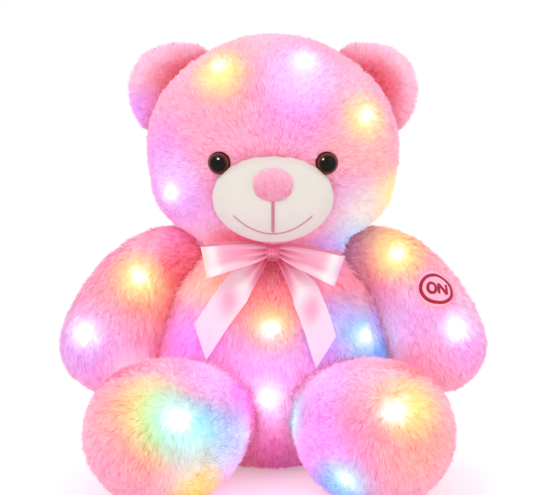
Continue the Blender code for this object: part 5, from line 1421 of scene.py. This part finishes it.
def smooth_route(points, share):
    """A smooth curve through a few points: the place and the way at a share of it."""
    points = [np.array(p, float) for p in points]
    position = share * (len(points) - 1)
    i = min(int(position), len(points) - 2)
    t = position - i
    p1, p2 = points[i], points[i + 1]
    p0 = points[i - 1] if i > 0 else p1 * 2 - p2
    p3 = points[i + 2] if i + 2 < len(points) else p2 * 2 - p1
    m1, m2 = (p2 - p0) / 2, (p3 - p1) / 2
    spot = (2 * t**3 - 3 * t**2 + 1) * p1 + (t**3 - 2 * t**2 + t) * m1
    spot = spot + (-2 * t**3 + 3 * t**2) * p2 + (t**3 - t**2) * m2
    way = (6 * t**2 - 6 * t) * p1 + (3 * t**2 - 4 * t + 1) * m1
    way = way + (-6 * t**2 + 6 * t) * p2 + (3 * t**2 - 2 * t) * m2
    return spot, way / np.linalg.norm(way)


def tail_rule(route, side):
    """A tail of the bow, along some places in the image: folded, wavy, its end cut slanting."""
    body_tree = tree_of(nodes["body_cover"])
    line = [on_surface(body_tree, x, y).xz for x, y in route]

    def place(along, across):
        (x, z), (way_x, way_z) = smooth_route(line, along)
        spread = min(1.0, along / 0.40)
        wide = TAIL_WIDTH * (0.30 + 0.70 * spread)
        x += way_z * across * wide + way_x * across * side * 0.017 * along
        z += -way_x * across * wide + way_z * across * side * 0.017 * along
        hit, _, _, _ = body_tree.ray_cast(Vector((x, -0.5, z)), Vector((0, 1, 0)))
        rest = hit.y if hit is not None else -0.06
        fold = 0.0024 * (1 - spread) * (1 + math.cos(2 * math.pi * (across * 2.0 + 0.1)))
        wave = 0.0016 * spread * (1 + math.sin(2 * math.pi * (along * 1.15 - 0.10) + across * 1.6))
        curl = 0.0015 * (across * 2) ** 2 * spread * math.sin(math.pi * min(1.0, along * 1.1))
        return np.array([x, rest - 0.0026 - fold - wave + curl, z])

    def tint(along, across):
        # painted light and shade down the tail: shade by the knot and along one edge near it, paler further
        # down, a painted highlight, a shaded spot half way and pale lavender painted light towards the end
        colour = mix(KNOT_SHADE, SATIN_PINK, along / 0.17)
        colour = mix(colour, SATIN_LIT_PALE, (along - 0.14) / 0.22)
        edge = bump_of(across * side, 0.42, 0.20) * bump_of(along, 0.18, 0.13)
        colour = mix(colour, SATIN_SHADE, edge * 0.75)
        colour = mix(colour, SATIN_HIGHLIGHT, bump_of(along, 0.36, 0.08) * bump_of(across, 0.0, 0.3) * 0.9)
        colour = mix(colour, SATIN_PINK, bump_of(along, 0.56, 0.12) * bump_of(across, 0.0, 0.34))
        shaded = np.array(SATIN_PINK) * (0.97, 0.80, 0.92)
        colour = mix(colour, shaded, bump_of(along, 0.56, 0.09) * bump_of(across, 0.0, 0.24) * 0.5)
        return mix(colour, srgb(252, 222, 248), (along - 0.66) / 0.25 * 0.9)

    return place, tint


def knot_rule():
    """The band round the middle of the bow, gathered into upright folds."""
    half = (knot_high - knot_low) / 2 * np.array([KNOT_SHARE, 0.95, KNOT_HEIGHT])

    def place(along, across):
        angle = 2 * math.pi * along
        out, up = math.cos(angle), math.sin(angle)
        middle = math.cos(2 * math.pi * across)
        fold = 1.0 + 0.075 * math.cos(2 * math.pi * across * 4.0 + 0.8 * up) - 0.05
        y = half[1] * math.copysign(abs(out) ** 0.75, out) * (1.0 - 0.10 * middle) * fold
        z = half[2] * math.copysign(abs(up) ** 0.70, up) * (1.0 - 0.06 * middle) * (0.97 + 0.03 * fold)
        x = half[0] * 2 * across * (1.0 - 0.10 * abs(up))
        return knot_centre + np.array([x, -y, z + KNOT_RAISE])

    def tint(along, across):
        # painted shade on the knot: deeper between its folds and on top, with a little painted light below
        # the middle
        folds = 0.5 + 0.5 * math.cos(2 * math.pi * across * 4.0)
        height = math.sin(2 * math.pi * along)
        colour = mix(KNOT_SHADE, SATIN_SHADE, 0.15 + folds * 0.75)
        colour = mix(colour, KNOT_SHADE, max(0.0, height) * 0.65)
        return mix(colour, SATIN_PINK, bump_of(height, -0.45, 0.4) * bump_of(across, -0.05, 0.35) * 0.50)

    return place, tint


# Places in the image that each tail passes
TAIL_ROUTES = (((265, 256), (243, 281), (222, 309), (200.5, 341)),
               ((281, 257), (302, 288), (315, 318), (326, 351)))
# Name, rules, steps along and across, whether it closes on itself, and its flat length
BOW = [
    ("bow_loop_left", loop_rule(-1, 10.5), 120, 34, True, 0.112),
    ("bow_loop_right", loop_rule(1, 19.0), 120, 34, True, 0.112),
    ("bow_tail_left", tail_rule(TAIL_ROUTES[0], -1), 72, 26, False, 0.088),
    ("bow_tail_right", tail_rule(TAIL_ROUTES[1], 1), 72, 26, False, 0.085),
    ("bow_knot", knot_rule(), 72, 40, True, 0.033),
]
for name, (place_rule, tint_rule), along_steps, across_steps, closed, length in BOW:
    piece = ribbon(name + "_satin", along_steps, across_steps, place_rule, tint_rule, closed, length)
    finish_piece(piece, "torso", "satin", bow_satin, name)


def neck_rule():
    """The ribbon round the neck, folded lengthwise where the head presses on it."""
    tree = node_trees["neck_ribbon"]
    low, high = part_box("neck_ribbon")
    middle = (low[2] + high[2]) / 2
    span = math.radians(68)

    def place(along, across):
        angle = (along - 0.5) * 2 * span
        way = Vector((-math.sin(angle), math.cos(angle), 0.0))
        hit, _, _, _ = tree.ray_cast(Vector((0, 0, middle)) - way * 0.12, way)
        if hit is None:
            hit = tree.find_nearest(Vector((0, 0, middle)) - way * 0.062)[0]
        fold = 0.0005 * (1 + math.cos(2 * math.pi * across * 2.0))
        return np.array(hit) + np.array(way) * (0.0056 - fold) + np.array([0, 0, across * 0.0086 - 0.0005])

    def tint(along, across):
        # painted shade in two lines along the ribbon, between its lengthwise folds
        return mix(SATIN_SHADE, SATIN_PINK, 0.6 + 0.4 * math.cos(2 * math.pi * across * 2))

    return place, tint


NECK_FOLDED, NECK_SHOWN = 0.0105, 0.15
neck = ribbon("neck_ribbon_satin", 90, 16, *neck_rule(), False, NECK_SHOWN)
finish_piece(neck, "torso", "satin", bow_satin, "neck_ribbon")


# The stitched mark: satin stitches laid side by side across each stroke
mark_up = unit(np.array([0.0, 0.0, 1.0]) - MARK_OUT * MARK_OUT[2])
mark_right = np.cross(mark_up, MARK_OUT)
patch_tree = trees["on_patch_skin"]


def on_mark(x, y, lift):
    """A place of the mark, from its middle, turned with it and laid on the patch."""
    turned_x = x * math.cos(LETTER_TURN) + y * math.sin(LETTER_TURN)
    turned_y = y * math.cos(LETTER_TURN) - x * math.sin(LETTER_TURN)
    turned_x, turned_y = turned_x + MARK_SHIFT[0], turned_y + MARK_SHIFT[1]
    start = MARK_PLACE + MARK_OUT * 0.03 + mark_right * turned_x + mark_up * turned_y
    hit, _, _, _ = patch_tree.ray_cast(Vector(start), Vector(-MARK_OUT))
    spot = np.array(hit) if hit is not None else MARK_PLACE + mark_right * turned_x + mark_up * turned_y
    return spot + MARK_OUT * lift


def satin_band(points, width, closed, pitch=0.00040):
    """Stitches across a band along a path of (x, y) on the mark."""
    points = np.array(points, float)
    if closed:
        points = np.vstack([points, points[:1]])
    run = np.concatenate([[0], np.cumsum(np.linalg.norm(np.diff(points, axis=0), axis=1))])
    count = max(3, int(run[-1] / pitch))
    found = []
    for i in range(count):
        at = run[-1] * (i + 0.5) / count
        spot, ahead, behind = (np.array([np.interp(where, run, points[:, k]) for k in (0, 1)])
                               for where in (at, min(at + 0.0004, run[-1]), max(at - 0.0004, 0)))
        way = (ahead - behind) / max(np.linalg.norm(ahead - behind), 1e-9)
        side = np.array([-way[1], way[0]])
        slant = way * 0.00016
        stitch = []
        for share in (-1.0, -0.8, -0.4, 0.0, 0.4, 0.8, 1.0):
            flat = spot + side * share * width / 2 + slant * share
            stitch.append(on_mark(flat[0], flat[1], 0.00085 * (1 - share**4) - 0.0002))
        found.append(stitch)
    return found


def oval(width, height, centre=0.0, steps=72):
    angles = np.linspace(0, 2 * math.pi, steps, endpoint=False)
    return [(centre + width / 2 * math.cos(a), height / 2 * math.sin(a)) for a in angles]


letter_left, letter_right = (LETTER_PITCH / 2 + sign * LETTER_SIZE[0] / 2 for sign in (-1, 1))
letter_half = LETTER_SIZE[1] / 2
LETTER_N = (
    ((letter_left, -letter_half), (letter_left, letter_half)),
    ((letter_left, letter_half), (letter_right, -letter_half)),
    ((letter_right, -letter_half), (letter_right, letter_half)),
)
STITCHING = [
    ("on_ring", satin_band(oval(*MARK_RING), 0.0028, True), 0.00027),
    ("on_letter_o", satin_band(oval(*LETTER_SIZE, -LETTER_PITCH / 2), 0.0025, True), 0.00026),
    ("on_letter_n", [stitch for stroke in LETTER_N for stitch in satin_band(stroke, 0.0024, False)],
     0.00026),
]
for name, stitches, radius in STITCHING:
    piece = tubes(name + "_stitches", stitches, radius, sides=6, taper=[0.6, 1, 1, 1, 1, 1, 0.6])
    finish_piece(piece, "switch_press", "thread", mark_stitch, name)


# The zip in the back: woven tapes, a coil of teeth on each, a slider and its pull
def cloth_material(name, colour, second):
    """Woven tape: threads crossing, in relief and in tone."""
    made, n, l, shader = material(name)
    weave = use_group(n, weave_threads, Scale=34.0)
    l.new(woven_place(n), weave.inputs["Vector"])
    l.new(mixed(n, l, weave.outputs["Value"], colour, second), shader.inputs["Base Color"])
    relief(n, l, shader, weave.outputs["Value"], 0.00015, 0.8)
    constants(shader, Roughness=0.7, Specular_IOR_Level=0.2, Sheen_Weight=0.2)
    return made


def make_weave_threads():
    """Threads that cross over and under: the height of a plain weave."""
    tree, n, l, given, result = group(
        "weave_threads",
        [("Vector", "NodeSocketVector", (0, 0, 0)), ("Scale", "NodeSocketFloat", 30.0)],
        [("Value", "NodeSocketFloat")],
    )
    parts = n.new("ShaderNodeSeparateXYZ")
    l.new(given.outputs["Vector"], parts.inputs[0])
    waves = []
    for axis in ("X", "Y"):
        run = maths(n, l, "MULTIPLY", parts.outputs[axis], given.outputs["Scale"])
        waves.append(maths(n, l, "SINE", maths(n, l, "MULTIPLY", run, math.pi)))
    crossed = maths(n, l, "MULTIPLY", waves[0], waves[1])
    l.new(maths(n, l, "MULTIPLY_ADD", crossed, 0.5, 0.5), result.inputs["Value"])
    return tree


weave_threads = make_weave_threads()
zip_cloth = cloth_material("zip_cloth", srgb(240, 132, 170), srgb(252, 172, 200))
ZIP_PITCH = 0.0013
TAPE_WIDTH = 0.0128
TAPE_LENGTH = 0.088
tape_low, tape_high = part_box("zip_tape_right")
chain_low, chain_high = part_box("zip_chain")


def tape_rule(sign):
    """A tape of the zip: flat, its outer edge a little wavy."""

    def place(along, across):
        waver = 0.00012 * math.sin(along * 60) * (across * 2) ** 2
        return np.array([sign * (0.0002 + TAPE_WIDTH * (0.5 + across)),
                         (tape_low[1] + tape_high[1]) / 2 + waver,
                         tape_low[2] + (tape_high[2] - tape_low[2]) * along])

    return place, lambda along, across: (1.0, 1.0, 1.0)


for side, sign in (("left", -1), ("right", 1)):
    tape = ribbon("zip_tape_%s_cloth" % side, 110, 12, *tape_rule(sign), False, TAPE_LENGTH)
    finish_piece(tape, "torso", "zip_tape", zip_cloth, "zip_tape_" + side)


def coil_path(sign, start):
    """The path of one side's coil: out to the middle, over, and back, tooth after tooth."""
    low, high = chain_low[2] + 0.0006, chain_high[2] - 0.0006
    back, front = chain_high[1] - 0.00035, chain_low[1] + 0.00035
    between_them = (front + back) / 2
    tooth = ((0.0018, front, 0.0), (0.0005, front, 0.00008), (-0.00042, between_them, 0.00030),
             (0.0005, back, 0.00052), (0.0018, back, 0.00062), (0.0021, between_them, 0.00098))
    found = []
    z = low + start
    while z < high - ZIP_PITCH:
        for x, y, rise in tooth:
            found.append((sign * x, y, z + rise))
        z += ZIP_PITCH
    return found


zip_coil_plastic, _, _, coil_shader = material("zip_coil_plastic")
constants(coil_shader, Base_Color=(*srgb(250, 190, 214), 1.0), Roughness=0.35)
coils = tubes("zip_coil", [coil_path(-1, 0.0), coil_path(1, ZIP_PITCH / 2)], 0.00030, sides=7)
finish_piece(coils, "torso", "zip_tape", zip_coil_plastic, "zip_chain")


def bevelled_block(name, size, centre, bevel):
    """A block of a size with rounded edges, as a piece at the origin."""
    bpy.ops.mesh.primitive_cube_add(size=1.0)
    piece = bpy.context.object
    piece.name = piece.data.name = name
    placed_with(piece, Matrix.Translation(Vector(centre)) @ Matrix.Diagonal((*size, 1.0)))
    bevels = dict(offset=bevel, segments=3, affect="EDGES")
    return worked(piece, 35, (bpy.ops.mesh.bevel, bevels))


def combined(piece, other, how):
    """Cuts another block out of a piece, or joins it on, and does away with the other."""
    step = piece.modifiers.new("combine", "BOOLEAN")
    step.operation, step.solver, step.object = how, "EXACT", other
    apply_modifiers(piece)
    bpy.data.objects.remove(other, do_unlink=True)


slider_low, slider_high = (np.array(v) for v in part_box("zip_slider"))
slider_mid = (slider_low + slider_high) / 2
plate_y = slider_low[1] + 0.0027
slider_plate = bevelled_block("slider_plate", (0.0088, 0.0013, 0.0096), (0, plate_y, slider_mid[2]), 0.00055)
for vertex in slider_plate.data.vertices:
    vertex.co.x *= 1.0 - 0.30 * clipped((slider_mid[2] - vertex.co.z) / 0.0048)
slider_bridge = bevelled_block("slider_bridge", (0.0018, 0.0036, 0.0084),
                               (0, plate_y + 0.0018, slider_mid[2] + 0.0003), 0.0007)
slider_rails = [bevelled_block("slider_rail", (0.0008, 0.0024, 0.0078),
                               (x, slider_low[1] + 0.0016, slider_mid[2] + 0.0006), 0.00025)
                for x in (-0.0038, 0.0038)]
bridge_gap = bevelled_block("bridge_gap", (0.004, 0.0018, 0.0050),
                            (0, plate_y + 0.0014, slider_mid[2] + 0.0006), 0.0004)
combined(slider_bridge, bridge_gap, "DIFFERENCE")
for block in (slider_bridge, *slider_rails):
    combined(slider_plate, block, "UNION")

pull_low, pull_high = (np.array(v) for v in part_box("zip_pull"))
pull_mid = (pull_low + pull_high) / 2
pull_shown = bevelled_block("pull_tab", (0.0054, 0.0011, 0.0148), pull_mid, 0.00045)
for vertex in pull_shown.data.vertices:
    vertex.co.x *= 1.0 - 0.26 * clipped((vertex.co.z - pull_mid[2]) / 0.0074)
for name, size, centre, bevel in (
        ("pull_eye", (0.0022, 0.004, 0.0026), (0, pull_mid[1], pull_high[2] - 0.0026), 0.0006),
        ("pull_panel", (0.0034, 0.0008, 0.0066), (0, pull_high[1] + 0.0001, pull_mid[2] - 0.0022), 0.0003)):
    combined(pull_shown, bevelled_block(name, size, centre, bevel), "DIFFERENCE")


# Materials of what lies inside, and of the metal parts of the zip
def make_fine_grain():
    """A fine even grain for moulded plastic."""
    tree, n, l, given, result = group("fine_grain", [("Scale", "NodeSocketFloat", 900.0)],
                                      [("Value", "NodeSocketFloat")])
    noise = texture(n, l, "Noise", Detail=4.0)
    l.new(given.outputs["Scale"], noise.inputs["Scale"])
    l.new(noise.outputs["Fac"], result.inputs["Value"])
    return tree


fine_grain = make_fine_grain()


def grained(name, colour, second, rough, metal=0.0, scale=900.0, **others):
    """A material with a fine grain in its tone, roughness and surface."""
    made, n, l, shader = material(name)
    grain = use_group(n, fine_grain, Scale=scale)
    l.new(mixed(n, l, grain.outputs["Value"], colour, second), shader.inputs["Base Color"])
    roughness = maths(n, l, "MULTIPLY_ADD", grain.outputs["Value"], 0.12, rough - 0.06)
    l.new(roughness, shader.inputs["Roughness"])
    relief(n, l, shader, grain.outputs["Value"], 0.00003, 0.5)
    constants(shader, Metallic=metal, **others)
    return made


CELL_BAND, CELL_END = 0.1010, 0.1142


def make_cell_jacket():
    """Printed jacket of a cell: a dark band, a copper-coloured band and a fine grain."""
    made, n, l, shader = material("cell_jacket")
    parts = n.new("ShaderNodeSeparateXYZ")
    l.new(n.new("ShaderNodeTexCoord").outputs["Object"], parts.inputs[0])
    band = maths(n, l, "GREATER_THAN", parts.outputs["Z"], CELL_BAND)
    ends = maths(n, l, "GREATER_THAN", parts.outputs["Z"], CELL_END)
    grain = use_group(n, fine_grain, Scale=700.0)
    printed = mixed(n, l, band, (0.05, 0.05, 0.06), (0.62, 0.30, 0.12))
    l.new(mixed(n, l, ends, printed, (0.6, 0.6, 0.6)), shader.inputs["Base Color"])
    l.new(ends, shader.inputs["Metallic"])
    l.new(maths(n, l, "MULTIPLY_ADD", grain.outputs["Value"], 0.15, 0.22), shader.inputs["Roughness"])
    return made


def make_board_surface():
    """Green laminate with lighter traces."""
    made, n, l, shader = material("board_surface")
    traces = texture(n, l, "Brick", Scale=260.0, Mortar_Size=0.08, Color1=(0.02, 0.16, 0.07, 1),
                     Color2=(0.02, 0.19, 0.08, 1), Mortar=(0.10, 0.42, 0.16, 1))
    l.new(traces.outputs["Color"], shader.inputs["Base Color"])
    constants(shader, Roughness=0.35, Coat_Weight=0.4)
    return made


FINISHES = {
    "case_plastic": grained("case_moulding", srgb(238, 236, 232), srgb(248, 247, 244), 0.42),
    "steel": grained("brushed_metal", (0.55, 0.55, 0.57), (0.70, 0.70, 0.72), 0.26, metal=1.0, scale=1600.0),
    "lamp_plastic": grained("lamp_lens", srgb(250, 246, 238), srgb(255, 252, 246), 0.22,
                            Transmission_Weight=0.3),
    "eye_plastic": grained("washer_plastic", srgb(222, 220, 214), srgb(236, 234, 230), 0.5),
    "cell_wrap": make_cell_jacket(),
    "board_laminate": make_board_surface(),
    "pink_plush": plush_skin,
    "satin": bow_satin,
    "thread": mark_stitch,
    "mouth_thread": mouth_stitch,
    "stuffing": grained("filling_fibre", srgb(246, 244, 240), srgb(255, 254, 252), 0.9),
    "muzzle_plush": muzzle_cloth,
    "nose_plush": plush_skin,
    "zip_tape": zip_cloth,
}
finish_piece(slider_plate, "zip_slider", "steel", FINISHES["steel"], "zip_slider")
finish_piece(pull_shown, "zip_pull", "steel", FINISHES["steel"], "zip_pull")
for node in nodes.values():
    slot_name = node.data.materials[0].name.split(".")[0]
    node.data.materials[0] = FINISHES[slot_name]
